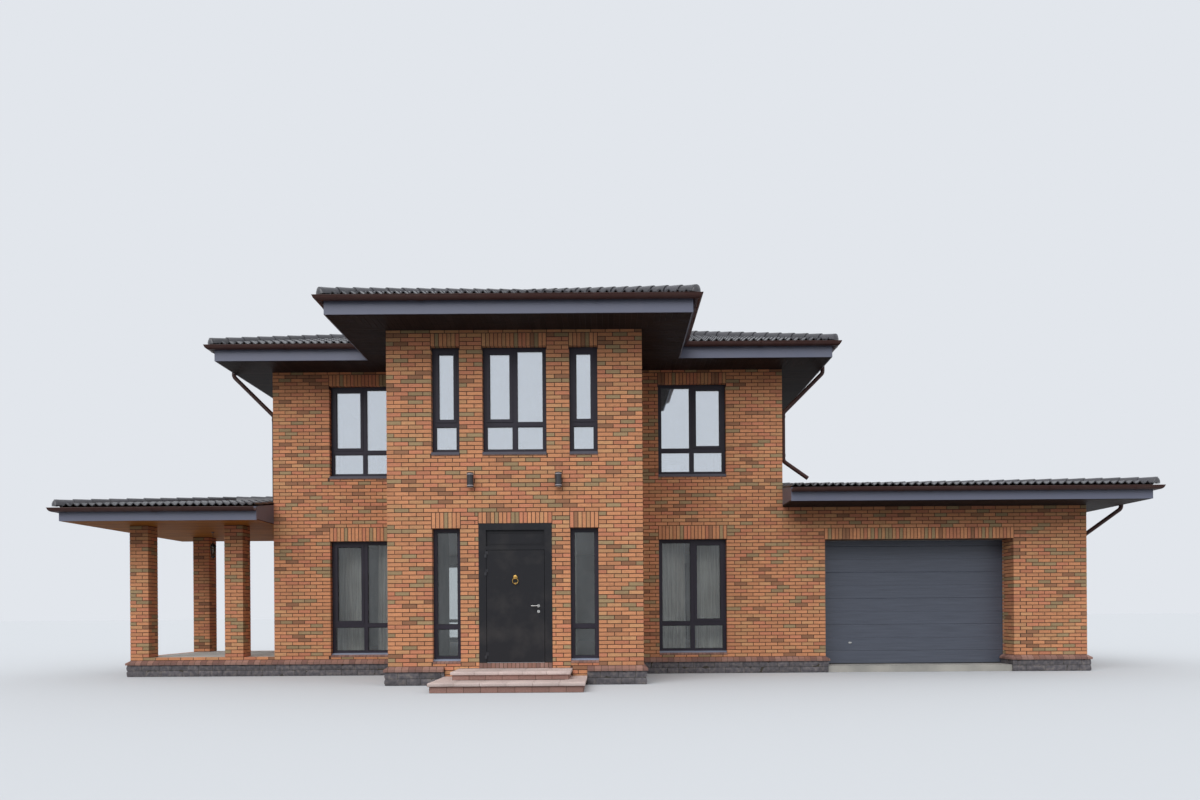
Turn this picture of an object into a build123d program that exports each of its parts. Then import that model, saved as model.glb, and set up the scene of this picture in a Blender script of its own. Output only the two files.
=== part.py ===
from build123d import *
import math
import os
from collections import namedtuple

# A detached brick house of two storeys, with an entrance bay, a garage and a side porch.
# Units are millimetres, +Z is up, +X is to the right and the front faces -Y.
# The origin lies at ground level under the centre of the main block.

# Plan of the main block and its bay
main_width = 10730
main_depth = 9600
bay_width = 4600
bay_depth = 2680
wall = 530

# Plan of the garage, to the right of the main block
garage_width = 6402
garage_depth = 7000
garage_opening_left = 885
garage_opening_width = 3985
garage_opening_head = 2806
garage_floor_top = 136

# Plan of the porch, to the left of the main block
porch_width = 3038
porch_depth = 3200
pillar_side = 380
inner_pillar_gap = 664
porch_rim = 120
porch_floor_thickness = 50

# Levels above the ground
plinth_height = 245
sill_course_height = 90
slab_thickness = 250
floor_level = 400
upper_slab_bottom = 3100
ceiling_thickness = 180
main_eaves = 6400
garage_eaves = 3510
porch_eaves = 3195

# Facing courses at the foot of the walls
plinth_proud = 45
sill_course_proud = 75
sill_course_nose = 38

# Roofs
main_slope = 0.354
garage_slope = 0.132
porch_slope = 0.149
main_overhang = 850
garage_overhang = 870
porch_overhang = 920
main_fascia_height = 305
low_fascia_height = 275
fascia_thickness = 25
soffit_thickness = 20
deck_thickness = 170
tile_thickness = 62
tile_lip = 50
cap_half_width = 120
cap_rise = 105
cap_thickness = 18
gutter_radius = 75
gutter_wall = 4
gutter_gap = 0.3
gutter_rim_drop = 22
low_gutter_rim_drop = 27

# Downpipes
pipe_radius = 43
pipe_wall = 3
pipe_bend_radius = 110
pipe_stand_off = 32
pipe_first_drop = 230
pipe_swan_drop = 1080
garage_pipe_swan_drop = 850
pipe_turn_height = 990
pipe_foot_reach = 520
pipe_foot_height = 620
pipe_end_height = 60
main_pipe_back = 250
garage_pipe_back = 350

# Windows
upper_sill = 4190
upper_head = 6110
upper_transom = 4715
lower_sill = 445
lower_head = 2830
lower_transom = 1050
narrow_width = 510
bay_middle_width = 1155
wing_window_width = 1430
narrow_offset = 1245
wing_window_offset = 3466
side_window_offset = 2400
reveal = 125
frame_face = 68
frame_bar = 80
frame_depth = 75
sash_face = 50
sash_proud = 12
glass_thickness = 28
sill_depth = 55
sill_proud = 15
sill_fall = 30

# Front door
door_opening_width = 1320
door_opening_head = 2910
casing_side = 133
casing_top = 120
casing_depth = 120
casing_proud = 10
leaf_thickness = 70
leaf_gap = 8
leaf_top = 2424
crossbar_height = 66
transom_panel_thickness = 40
threshold_proud = 12
hinge_levels = (530, 2030, 2350)
hinge_stand_off = 14
hinge_radius = 11
hinge_pin_radius = 6
hinge_pin_clearance = 0.1
hinge_knuckle_height = 55
hinge_knuckle_gap = 2
hinge_plate_reach = 34
hinge_plate_thickness = 6

# Door furniture
handle_level = 1420
handle_from_centre = 414
handle_length = 130
handle_stand_off = 48
handle_radius = 9
spindle_radius = 8
spindle_clearance = 1
rose_radius = 26
rose_thickness = 10
keyhole_drop = 100
knocker_level = 1940
knocker_boss_radius = 38
knocker_boss_depth = 9
knocker_dome_rise = 8
knocker_ring_radius = 50
knocker_ring_bar = 6
knocker_ring_drop = 20
knocker_neck_radius = 5
knocker_pin_radius = 4
knocker_pin_clearance = 0.3
knocker_hub_radius = 9
knocker_hub_length = 16
knocker_ear_thickness = 6
knocker_ear_gap = 1
knocker_stand_off = 26

# Steps in front of the door
step_top = 160
landing_top = 300
step_half_width = 1285
landing_half_width = 1020
step_reach = 1580
landing_reach = 950
tread_thickness = 55
tread_nose = 35

# Sectional garage door
section_height = 568
section_count = 5
section_thickness = 42
section_gap = 2
section_side_lap = 60
rib_depth = 6
rib_width = 22
door_track_depth = 20
door_track_width = 70
garage_handle_left = 670
garage_handle_level = 600
garage_handle_width = 70
garage_handle_height = 24
garage_handle_depth = 18

# Lamps
lamp_radius = 58.5
lamp_height = 265
lamp_level = 3680
lamp_offset = 790
lamp_stand_off = 30
lantern_offset = 1985
lantern_depth = 1550
lantern_top = 2980
lantern_height = 410
lantern_foot_radius = 25
lantern_foot_height = 49
lantern_cage_radius = 42
lantern_cage_height = 245
lantern_hood_radius = 70
lantern_neck_radius = 35
lantern_neck_height = 41
lantern_stem_radius = 8

seam = 2

# Derived places
half_width = main_width / 2
half_depth = main_depth / 2
half_bay = bay_width / 2
front_y = -half_depth
rear_y = half_depth
bay_y = front_y - bay_depth
garage_right = half_width + garage_width
garage_rear = front_y + garage_depth
opening_left = half_width + garage_opening_left
opening_right = opening_left + garage_opening_width
porch_left = -half_width - porch_width
porch_rear = front_y + porch_depth
wall_foot = plinth_height + sill_course_height
leaf_bottom = floor_level + leaf_gap
half_casing = door_opening_width / 2 - casing_side

Window = namedtuple("Window", "across width sill head transom lights opening_light")


def block(x0, x1, y0, y1, z0, z1):
    """A plain block between two corners."""
    size = Box(x1 - x0, y1 - y0, z1 - z0, align=(Align.MIN, Align.MIN, Align.MIN))
    return Pos(x0, y0, z0) * size


def facade(x, y, turn):
    """The plane of an outer wall face: local X runs to the right seen from outside, local Y is up."""
    along = Vector(1, 0, 0).rotate(Axis.Z, turn)
    outward = Vector(0, -1, 0).rotate(Axis.Z, turn)
    return Plane(origin=(x, y, 0), x_dir=along, z_dir=outward)


bay_face = facade(0, bay_y, 0)
front_face = facade(0, front_y, 0)
right_face = facade(half_width, 0, 90)
rear_face = facade(0, rear_y, 180)
left_face = facade(-half_width, 0, 270)


# Window lists, one for each outer face

def storeys(across, width, lights, upper_light, lower_light):
    """One window above another, at the same place along a wall."""
    upper = Window(across, width, upper_sill, upper_head, upper_transom, lights, upper_light)
    lower = Window(across, width, lower_sill, lower_head, lower_transom, lights, lower_light)
    return [upper, lower]


def upper_only(windows):
    """The windows of the upper storey."""
    return [w for w in windows if w.sill == upper_sill]


def lower_only(windows):
    """The windows of the ground storey."""
    return [w for w in windows if w.sill == lower_sill]


bay_windows = storeys(-narrow_offset, narrow_width, 1, 0, None)
bay_windows += storeys(narrow_offset, narrow_width, 1, 0, None)
bay_windows += upper_only(storeys(0, bay_middle_width, 2, 0, None))
left_wing_windows = storeys(-wing_window_offset, wing_window_width, 2, 0, 0)
right_wing_windows = storeys(wing_window_offset, wing_window_width, 2, 1, 1)
left_windows = storeys(-side_window_offset, wing_window_width, 2, 0, 0)
left_windows += upper_only(storeys(side_window_offset, wing_window_width, 2, 1, 1))
right_windows = upper_only(storeys(side_window_offset, wing_window_width, 2, 1, 1))
rear_windows = storeys(-wing_window_offset, wing_window_width, 2, 0, 0)
rear_windows += storeys(0, wing_window_width, 2, 0, 0)
rear_windows += storeys(wing_window_offset, wing_window_width, 2, 1, 1)


# Outer walls

def wall_plate(face, left, right, bottom, top, windows):
    """A flat wall behind a facade plane, with its window openings and sill notches cut through."""
    outline = Pos((left + right) / 2, (bottom + top) / 2) * Rectangle(right - left, top - bottom)
    for w in windows:
        outline -= Pos(w.across, (w.sill + w.head) / 2) * Rectangle(w.width, w.head - w.sill)
    plate = extrude(face * outline, amount=-wall)
    for w in windows:
        notch = Pos(w.across, w.sill - sill_depth / 2) * Rectangle(w.width, sill_depth)
        plate -= extrude(face * notch, amount=-(reveal + frame_depth))
    return plate


def roof_underside(eaves, overhang, slope, fascia_height):
    """Level at which the roof deck meets the outer face of a wall."""
    return eaves + fascia_height + overhang * slope - deck_thickness


main_wall_top = roof_underside(main_eaves, main_overhang, main_slope, main_fascia_height)
garage_wall_top = roof_underside(garage_eaves, garage_overhang, garage_slope, low_fascia_height)
porch_beam_top = roof_underside(porch_eaves, porch_overhang, porch_slope, low_fascia_height)


def bay_ground_wall(side):
    """The bay wall beside the door, left for side -1 and right for side 1."""
    ends = sorted((side * half_bay, side * door_opening_width / 2))
    windows = [w for w in lower_only(bay_windows) if w.across * side > 0]
    return wall_plate(bay_face, ends[0], ends[1], 0, door_opening_head, windows)


def bay_side_walls():
    """The two side walls of the bay, from its front wall back through the main front wall."""
    left = block(-half_bay, -half_bay + wall, bay_y + wall, front_y + wall, 0, main_wall_top)
    return [left, mirror(left, Plane.YZ)]


def threshold():
    """Brick threshold and the masonry below the door."""
    half = door_opening_width / 2
    under = block(-half, half, bay_y, bay_y + wall, 0, landing_top)
    course = block(-half, half, bay_y - threshold_proud, bay_y + wall, landing_top, floor_level)
    return under + course


# Floors

def inside_slab(bottom, top):
    """A slab that fills the rooms of the main block and the bay, as two solids that butt."""
    main = block(
        -half_width + wall, half_width - wall, front_y + wall, rear_y - wall, bottom, top
    )
    bay = block(-half_bay + wall, half_bay - wall, bay_y + wall, front_y + wall, bottom, top)
    return main, bay


# Stone plinth and sloping sill course

def swept(section, points):
    """A section swept along straight runs, with outside to the left of the way it runs."""
    path = Polyline(*[(x, y, 0) for x, y in points])
    tangent = path % 0
    outward = Vector(0, 0, 1).cross(tangent)
    start = Plane(origin=path @ 0, x_dir=outward, z_dir=tangent)
    return sweep(start * section, path=path, transition=Transition.RIGHT)


def corner_cuts(points, reach, bottom, top):
    """Thin upright cuts along the mitre of every corner between the two ends of a path."""
    cuts = []
    for before, here, after in zip(points, points[1:], points[2:]):
        way_in = (Vector(*here) - Vector(*before)).normalized()
        way_out = (Vector(*after) - Vector(*here)).normalized()
        mitre = way_in - way_out
        angle = math.degrees(math.atan2(mitre.Y, mitre.X))
        cut = Box(2 * reach, seam, top - bottom)
        cuts.append(Pos(here[0], here[1], (bottom + top) / 2) * Rot(0, 0, angle) * cut)
    return cuts


def mitred_run(section, points, reach, bottom, top):
    """A swept section cut at its corners, so that each straight run is a piece of its own."""
    return swept(section, points) - corner_cuts(points, reach, bottom, top)


reveal_end = front_y + wall
left_foot_path = [
    (-step_half_width, bay_y),
    (-half_bay, bay_y),
    (-half_bay, front_y),
    (porch_left, front_y),
    (porch_left, porch_rear),
    (-half_width, porch_rear),
    (-half_width, rear_y),
    (half_width, rear_y),
    (half_width, garage_rear),
    (garage_right, garage_rear),
    (garage_right, front_y),
    (opening_right, front_y),
    (opening_right, reveal_end),
]
right_foot_path = [
    (opening_left, reveal_end),
    (opening_left, front_y),
    (half_bay, front_y),
    (half_bay, bay_y),
    (step_half_width, bay_y),
]


def plinth():
    """Split stone facing along the foot of all walls."""
    section = Pos(plinth_proud / 2, plinth_height / 2) * Rectangle(plinth_proud, plinth_height)
    left = mitred_run(section, left_foot_path, 4 * plinth_proud, -1, plinth_height + 1)
    right = mitred_run(section, right_foot_path, 4 * plinth_proud, -1, plinth_height + 1)
    return [left, right]


def sill_course():
    """Sloping brick course on top of the stone plinth."""
    nose = plinth_height + sill_course_nose
    corners = [
        (0, plinth_height),
        (sill_course_proud, plinth_height),
        (sill_course_proud, nose),
        (0, wall_foot),
    ]
    section = make_face(Polyline(*corners, close=True))
    reach = 4 * sill_course_proud
    left = mitred_run(section, left_foot_path, reach, plinth_height - 1, wall_foot + 1)
    right = mitred_run(section, right_foot_path, reach, plinth_height - 1, wall_foot + 1)
    return [left, right]


# Windows

def light_openings(w):
    """Middle and size of each light of a window, bottom row first, left light first."""
    inner_width = w.width - 2 * frame_face - (w.lights - 1) * frame_bar
    light_width = inner_width / w.lights
    rows = [
        (w.sill + frame_face, w.transom - frame_bar / 2),
        (w.transom + frame_bar / 2, w.head - frame_face),
    ]
    openings = []
    for bottom, top in rows:
        for column in range(w.lights):
            left = w.across - w.width / 2 + frame_face + column * (light_width + frame_bar)
            openings.append((left + light_width / 2, (bottom + top) / 2, light_width, top - bottom))
    return openings


def sash_number(w):
    """Which of the light openings holds the opening sash, or None where all are fixed."""
    if w.opening_light is None:
        return None
    return w.lights + w.opening_light


def window_frame(face, w):
    """Fixed frame of one window with its transom and mullion."""
    outline = Pos(w.across, (w.sill + w.head) / 2) * Rectangle(w.width, w.head - w.sill)
    for x, z, width, height in light_openings(w):
        outline -= Pos(x, z) * Rectangle(width, height)
    return extrude(face.offset(-reveal) * outline, amount=-frame_depth)


def window_sash(face, w):
    """Opening sash, a thicker ring that stands a little proud of the frame."""
    x, z, width, height = light_openings(w)[sash_number(w)]
    ring = Rectangle(width, height) - Rectangle(width - 2 * sash_face, height - 2 * sash_face)
    outside = face.offset(sash_proud - reveal)
    return extrude(outside * Pos(x, z) * ring, amount=-(frame_depth + sash_proud))


def window_panes(face, w):
    """Glass of every light, set in the middle of the frame's depth."""
    outside = face.offset(-reveal - (frame_depth - glass_thickness) / 2)
    panes = []
    for number, (x, z, width, height) in enumerate(light_openings(w)):
        rebate = 2 * sash_face if number == sash_number(w) else 0
        pane = Rectangle(width - rebate, height - rebate)
        panes.append(extrude(outside * Pos(x, z) * pane, amount=-glass_thickness))
    return panes


def window_sill(face, w):
    """Sloping brick sill under a ground floor window."""
    low = w.sill - sill_depth
    corners = [
        (-sill_proud, low),
        (reveal + frame_depth, low),
        (reveal + frame_depth, w.sill),
        (reveal, w.sill),
        (-sill_proud, w.sill - sill_fall),
    ]
    section = make_face(Polyline(*corners, close=True))
    side = face.location * Pos(w.across - w.width / 2, 0, 0) * Rot(0, 90, 0)
    return extrude(Plane(side) * section, amount=w.width)


window_groups = {
    "front": [(bay_face, bay_windows), (front_face, left_wing_windows + right_wing_windows)],
    "side": [(left_face, left_windows), (right_face, right_windows)],
    "rear": [(rear_face, rear_windows)],
}


# Roofs

def distinct(plan):
    """A plan outline without the points that fall on the one before, as where a ridge has no length."""
    return [point for point, before in zip(plan, plan[-1:] + plan) if point != before]


def layer(plan, eave_point, inward, eave_level, slope, thickness):
    """A sloping layer over a plan outline, rising from its eave line and measured upright."""
    plan = distinct(plan)
    corners = []
    for x, y in plan:
        run = (x - eave_point[0]) * inward[0] + (y - eave_point[1]) * inward[1]
        corners.append((x, y, eave_level + run * slope))
    sheet = extrude(make_face(Polyline(*corners, close=True)), amount=thickness, dir=(0, 0, 1))
    flat = make_face(Polyline(*plan, close=True))
    inset = offset(flat, amount=-seam / 2, kind=Kind.INTERSECTION)
    low = min(z for x, y, z in corners) - thickness
    high = max(z for x, y, z in corners) + 2 * thickness
    return sheet & (Pos(0, 0, low) * extrude(inset, amount=high - low))


def ridge_reach():
    """Half the length of the main ridge, across and along the house: one of the two is nothing."""
    return max(half_width - half_depth, 0), max(half_depth - half_width, 0)


def main_roof_layer(reach, level, thickness):
    """The four slopes of the main roof, with the bay's valleys cut from the front one."""
    e = half_width + reach
    f = half_depth + reach
    b = half_bay + reach
    u, v = ridge_reach()
    front = [(-e, -f), (-b, -f), (0, b - f), (b, -f), (e, -f), (u, -v), (-u, -v)]
    right = [(e, -f), (e, f), (u, v), (u, -v)]
    rear = [(e, f), (-e, f), (-u, v), (u, v)]
    left = [(-e, f), (-e, -f), (-u, -v), (-u, v)]
    return [
        layer(front, (0, -f), (0, 1), level, main_slope, thickness),
        layer(right, (e, 0), (-1, 0), level, main_slope, thickness),
        layer(rear, (0, f), (0, -1), level, main_slope, thickness),
        layer(left, (-e, 0), (1, 0), level, main_slope, thickness),
    ]


def bay_roof_layer(reach, level, thickness):
    """The three slopes of the bay roof, which run back into the main front slope."""
    f = half_depth + reach
    g = -bay_y + reach
    b = half_bay + reach
    front = [(-b, -g), (b, -g), (0, b - g)]
    right = [(b, -g), (b, -f), (0, b - f), (0, b - g)]
    left = [(-b, -f), (-b, -g), (0, b - g), (0, b - f)]
    return [
        layer(front, (0, -g), (0, 1), level, main_slope, thickness),
        layer(right, (b, 0), (-1, 0), level, main_slope, thickness),
        layer(left, (-b, 0), (1, 0), level, main_slope, thickness),
    ]


def low_roof_layer(side, inner, outer, front, rear, level, slope, thickness):
    """Three slopes of a roof that leans with its ridge end on the main block, to one side of it."""
    half_span = (rear - front) / 2
    middle = (front + rear) / 2
    hip = outer - side * half_span
    ahead = [(inner, front), (outer, front), (hip, middle), (inner, middle)]
    behind = [(inner, rear), (outer, rear), (hip, middle), (inner, middle)]
    end = [(outer, front), (outer, rear), (hip, middle)]
    return [
        layer(ahead, (0, front), (0, 1), level, slope, thickness),
        layer(behind, (0, rear), (0, -1), level, slope, thickness),
        layer(end, (outer, 0), (-side, 0), level, slope, thickness),
    ]


def ridge_cap(start, end, fall):
    """Half round cap tile run from start to end, its edges resting on slopes that fall away."""
    way = Vector(*end) - Vector(*start)
    across = Vector(way.Y, -way.X, 0).normalized()
    plane = Plane(origin=start, x_dir=across, z_dir=across.cross(Vector(0, 0, 1)))
    w = cap_half_width
    v = w - cap_thickness
    outer = ThreePointArc((-w, -w * fall), (0, cap_rise), (w, -w * fall))
    inner = ThreePointArc((v, -v * fall), (0, cap_rise - cap_thickness), (-v, -v * fall))
    right_foot = Line((w, -w * fall), (v, -v * fall))
    left_foot = Line((-v, -v * fall), (-w, -w * fall))
    section = make_face(outer + right_foot + inner + left_foot)
    return extrude(plane * section, amount=way.length, dir=way.normalized())


def point_on(x, y, run, level, slope):
    """A point on a roof's upper face, a given run in from its eave."""
    return (x, y, level + run * slope)


def hip_cap(corner, inward, run, level, slope):
    """Cap over a hip that climbs at 45 degrees in plan from an eave corner."""
    stop = run - cap_half_width
    top = (corner[0] + inward[0] * stop, corner[1] + inward[1] * stop)
    fall = slope * math.sqrt(0.5)
    start = point_on(corner[0], corner[1], 0, level, slope)
    return ridge_cap(start, point_on(top[0], top[1], stop, level, slope), fall)


def tile_levels(eaves, fascia_height, slope):
    """Underside and upper face of the tiles at their lip, beyond the fascia."""
    bottom = eaves + fascia_height - tile_lip * slope
    return bottom, bottom + tile_thickness


def deck_level(eaves, fascia_height, slope):
    """Underside of the roof deck at the back of the fascia."""
    return eaves + fascia_height + fascia_thickness * slope - deck_thickness


def main_roof_caps():
    """Caps over the four hips and the ridge of the main roof."""
    level = tile_levels(main_eaves, main_fascia_height, main_slope)[1]
    e = half_width + main_overhang + tile_lip
    f = half_depth + main_overhang + tile_lip
    run = min(e, f)
    caps = []
    for x in (-1, 1):
        for y in (-1, 1):
            caps.append(hip_cap((x * e, y * f), (-x, -y), run, level, main_slope))
    u, v = ridge_reach()
    start = point_on(-u, -v, run, level, main_slope)
    end = point_on(u, v, run, level, main_slope)
    caps.append(ridge_cap(start, end, main_slope))
    return caps


def bay_roof_caps():
    """Caps over the two hips and the ridge of the bay roof."""
    level = tile_levels(main_eaves, main_fascia_height, main_slope)[1]
    b = half_bay + main_overhang + tile_lip
    g = -bay_y + main_overhang + tile_lip
    f = half_depth + main_overhang + tile_lip
    caps = []
    for x in (-1, 1):
        caps.append(hip_cap((x * b, -g), (-x, 1), b, level, main_slope))
    ahead = point_on(0, b - g, b, level, main_slope)
    behind = point_on(0, b - f - cap_half_width, b, level, main_slope)
    caps.append(ridge_cap(ahead, behind, main_slope))
    return caps


def low_roof_caps(side, inner, outer, front, rear, level, slope):
    """Caps over the two hips and the ridge of a low side roof."""
    half_span = (rear - front) / 2
    middle = (front + rear) / 2
    hip = outer - side * half_span
    ahead = hip_cap((outer, front), (-side, 1), half_span, level, slope)
    behind = hip_cap((outer, rear), (-side, -1), half_span, level, slope)
    start = point_on(inner + side * seam, middle, half_span, level, slope)
    ridge = ridge_cap(start, point_on(hip, middle, half_span, level, slope), slope)
    return [ahead, behind, ridge]


# Eaves

def house_outline(reach):
    """Plan corners of the main block and its bay, moved outward, clockwise from the rear."""
    e = half_width + reach
    f = half_depth + reach
    b = half_bay + reach
    g = -bay_y + reach
    return [
        (e, f), (e, -f), (b, -f), (b, -g), (-b, -g), (-b, -f), (-e, -f), (-e, f)
    ]


def rear_joint_path(reach):
    """The main eaves line as one path that starts and ends at a joint in the middle of the rear."""
    corners = house_outline(reach)
    y = corners[0][1]
    return [(seam / 2, y)] + corners + [(-seam / 2, y)]


def low_eaves_path(side, inner, outer, front, rear):
    """The eaves line of a low side roof from its front end round to the rear wall."""
    path = [(inner, front), (outer, front), (outer, rear), (inner, rear)]
    return path if side < 0 else list(reversed(path))


def board_section(depth, bottom, height):
    """Section of a flat board that lies inside the path line."""
    return Pos(-depth / 2, bottom + height / 2) * Rectangle(depth, height)


def gutter_section(rim):
    """Half round gutter hung against the fascia."""
    ring = Circle(gutter_radius) - Circle(gutter_radius - gutter_wall)
    below = Pos(0, -gutter_radius) * Rectangle(4 * gutter_radius, 2 * gutter_radius)
    return Pos(gutter_radius + gutter_gap, rim) * (ring & below)


def main_fascia():
    section = board_section(fascia_thickness, main_eaves, main_fascia_height)
    path = rear_joint_path(main_overhang)
    top = main_eaves + main_fascia_height
    return mitred_run(section, path, 3 * fascia_thickness, main_eaves - 1, top + 1)


def main_soffit():
    depth = main_overhang - fascia_thickness
    section = board_section(depth, main_eaves, soffit_thickness)
    path = rear_joint_path(depth)
    top = main_eaves + soffit_thickness
    return mitred_run(section, path, 2 * main_overhang, main_eaves - 1, top + 1)


def main_gutter():
    rim = main_eaves + main_fascia_height - gutter_rim_drop
    path = rear_joint_path(main_overhang)
    bottom = rim - 2 * gutter_radius
    return mitred_run(gutter_section(rim), path, 4 * gutter_radius, bottom, rim + 1)


def garage_eaves_line(reach):
    return low_eaves_path(1, half_width, garage_right + reach, front_y - reach, garage_rear + reach)


def low_fascia(eaves, slope, path, side):
    """Fascia of a low roof with the return board that closes its front end up to the tiles."""
    section = board_section(fascia_thickness, eaves, low_fascia_height)
    top = eaves + low_fascia_height
    run = mitred_run(section, path, 3 * fascia_thickness, eaves - 1, top + 1)
    front = min(y for x, y in path)
    ahead = front + fascia_thickness + seam
    bottom = eaves + soffit_thickness
    corners = [
        (ahead, bottom),
        (front_y, bottom),
        (front_y, top + (front_y - front) * slope),
        (ahead, top + (ahead - front) * slope),
    ]
    board = extrude(Plane.YZ * make_face(Polyline(*corners, close=True)), amount=fascia_thickness)
    left = min(side * half_width, side * (half_width + fascia_thickness))
    return [run, Pos(left, 0, 0) * board]


def low_gutter(eaves, path):
    rim = eaves + low_fascia_height - low_gutter_rim_drop
    bottom = rim - 2 * gutter_radius
    return mitred_run(gutter_section(rim), path, 4 * gutter_radius, bottom, rim + 1)


def garage_soffit():
    depth = garage_overhang - fascia_thickness
    section = board_section(depth, garage_eaves, soffit_thickness)
    path = garage_eaves_line(depth)
    top = garage_eaves + soffit_thickness
    return mitred_run(section, path, 2 * garage_overhang, garage_eaves - 1, top + 1)


def porch_ceiling():
    """Boarded ceiling over the whole porch, from fascia to fascia."""
    reach = porch_overhang - fascia_thickness
    top = porch_eaves + soffit_thickness
    return block(
        porch_left - reach, -half_width, front_y - reach, porch_rear + reach, porch_eaves, top
    )


# Porch

def pillar_lefts():
    """Left faces of the outer and the inner pillars."""
    inner = -half_width - inner_pillar_gap - pillar_side
    return [porch_left, inner]


def porch_pillars():
    """Four square brick pillars."""
    pillars = []
    for x in pillar_lefts():
        for y in (front_y, porch_rear - pillar_side):
            pillars.append(block(x, x + pillar_side, y, y + pillar_side, floor_level, porch_eaves))
    return pillars


def porch_beams():
    """Beams over the pillars that carry the roof deck, front, rear and left."""
    bottom = porch_eaves + soffit_thickness
    width = pillar_side / 2
    front = block(porch_left, -half_width, front_y, front_y + width, bottom, porch_beam_top)
    rear = block(porch_left, -half_width, porch_rear - width, porch_rear, bottom, porch_beam_top)
    left = block(
        porch_left,
        porch_left + width,
        front_y + width + seam,
        porch_rear - width - seam,
        bottom,
        porch_beam_top,
    )
    return [front, rear, left]


def porch_floor():
    """Paving slab of the porch, inside the brick rim of its base."""
    rim = porch_rim
    return block(
        porch_left + rim,
        -half_width,
        front_y + rim,
        porch_rear - rim,
        floor_level - porch_floor_thickness,
        floor_level,
    )


def porch_base():
    """Brick base of the porch, with a rim that stands round the paving."""
    mass = block(porch_left, -half_width, front_y, porch_rear, 0, floor_level)
    return mass - porch_floor()


def porch_lantern():
    """Hanging lantern: a cage that widens upwards from its foot to its hood, on a stem."""
    x = -half_width - lantern_offset
    y = front_y + lantern_depth
    bottom = lantern_top - lantern_height
    cage_bottom = bottom + lantern_foot_height
    corners = [
        (0, bottom),
        (lantern_foot_radius, bottom),
        (lantern_cage_radius, cage_bottom),
        (lantern_hood_radius, cage_bottom + lantern_cage_height),
        (lantern_neck_radius, lantern_top - lantern_neck_height),
        (lantern_stem_radius, lantern_top),
        (lantern_stem_radius, porch_eaves),
        (0, porch_eaves),
    ]
    section = Plane.XZ * make_face(Polyline(*corners, close=True))
    return Pos(x, y, 0) * revolve(section, Axis.Z)


# Front door

def door_frame():
    """Door casing with the crossbar under the transom panel."""
    half = door_opening_width / 2
    top = door_opening_head - casing_top
    outside = Pos(0, (floor_level + door_opening_head) / 2) * Rectangle(
        2 * half, door_opening_head - floor_level
    )
    hole = Pos(0, (floor_level + top) / 2) * Rectangle(2 * half_casing, top - floor_level)
    bar = Pos(0, leaf_top + leaf_gap + crossbar_height / 2) * Rectangle(
        2 * half_casing, crossbar_height
    )
    outline = outside - hole + bar
    return extrude(bay_face.offset(casing_proud) * outline, amount=-casing_depth)


def door_transom_panel():
    """Plain fixed panel over the crossbar."""
    bottom = leaf_top + leaf_gap + crossbar_height
    top = door_opening_head - casing_top
    panel = Pos(0, (bottom + top) / 2) * Rectangle(2 * half_casing, top - bottom)
    middle = casing_proud - (casing_depth - transom_panel_thickness) / 2
    return extrude(bay_face.offset(middle) * panel, amount=-transom_panel_thickness)


leaf_front = bay_y - casing_proud
leaf_half = half_casing - leaf_gap
hinge_x = -half_casing + leaf_gap / 2
hinge_y = leaf_front - hinge_stand_off
knocker_pivot_y = leaf_front - knocker_stand_off


def door_leaf():
    """Plain door leaf with the bores for the handle spindle and the key."""
    leaf = block(
        -leaf_half, leaf_half, leaf_front, leaf_front + leaf_thickness, leaf_bottom, leaf_top
    )
    bore = Cylinder(spindle_radius + spindle_clearance, 4 * leaf_thickness)
    leaf -= Pos(handle_from_centre, leaf_front, handle_level) * Rot(90, 0, 0) * bore
    return leaf


def knuckle(level, bored, plate_way):
    """One hinge knuckle with the plate that fixes it; level is its lower end."""
    barrel = Pos(0, 0, hinge_knuckle_height / 2) * Cylinder(hinge_radius, hinge_knuckle_height)
    depth = hinge_stand_off - hinge_plate_thickness
    ends = sorted((0, plate_way * hinge_plate_reach))
    tongue_ends = sorted((plate_way * 2 * hinge_pin_radius, plate_way * hinge_plate_reach))
    plate = block(
        tongue_ends[0], tongue_ends[1], depth, hinge_stand_off, 0, hinge_knuckle_height
    )
    web = block(ends[0], ends[1], 0, depth, 0, hinge_knuckle_height)
    web &= block(-2 * hinge_radius, 2 * hinge_radius, 0, depth, 0, hinge_knuckle_height)
    piece = barrel + plate + web
    if bored:
        radius = hinge_pin_radius + hinge_pin_clearance
        piece -= Pos(0, 0, hinge_knuckle_height / 2) * Cylinder(radius, 2 * hinge_knuckle_height)
    return Pos(hinge_x, hinge_y, level) * piece


def frame_hinges():
    """Lower knuckles on the casing, each with its pin standing up."""
    knuckles = []
    for level in hinge_levels:
        lower = level - hinge_knuckle_height - hinge_knuckle_gap / 2
        pin = Cylinder(hinge_pin_radius, 2 * hinge_knuckle_height + hinge_knuckle_gap)
        knuckles.append(knuckle(lower, False, -1) + Pos(hinge_x, hinge_y, level) * pin)
    return knuckles


def leaf_hinges():
    """Upper knuckles on the leaf, bored for the pins."""
    return [knuckle(level + hinge_knuckle_gap / 2, True, 1) for level in hinge_levels]


def door_lever():
    """Lever on each side of the leaf, joined by the spindle."""
    outer = -(handle_stand_off + rose_thickness)
    inner = leaf_thickness + handle_stand_off + rose_thickness
    spindle = Pos(0, (outer + inner) / 2, 0) * Rot(90, 0, 0) * Cylinder(
        spindle_radius, inner - outer
    )
    grip = Pos(-handle_length / 2, 0, 0) * Rot(0, 90, 0) * Cylinder(handle_radius, handle_length)
    grips = Pos(0, outer, 0) * grip + Pos(0, inner, 0) * grip
    knuckles = Pos(0, outer, 0) * Sphere(handle_radius) + Pos(0, inner, 0) * Sphere(handle_radius)
    lever = spindle + grips + knuckles
    return Pos(handle_from_centre, leaf_front, handle_level) * lever


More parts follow.
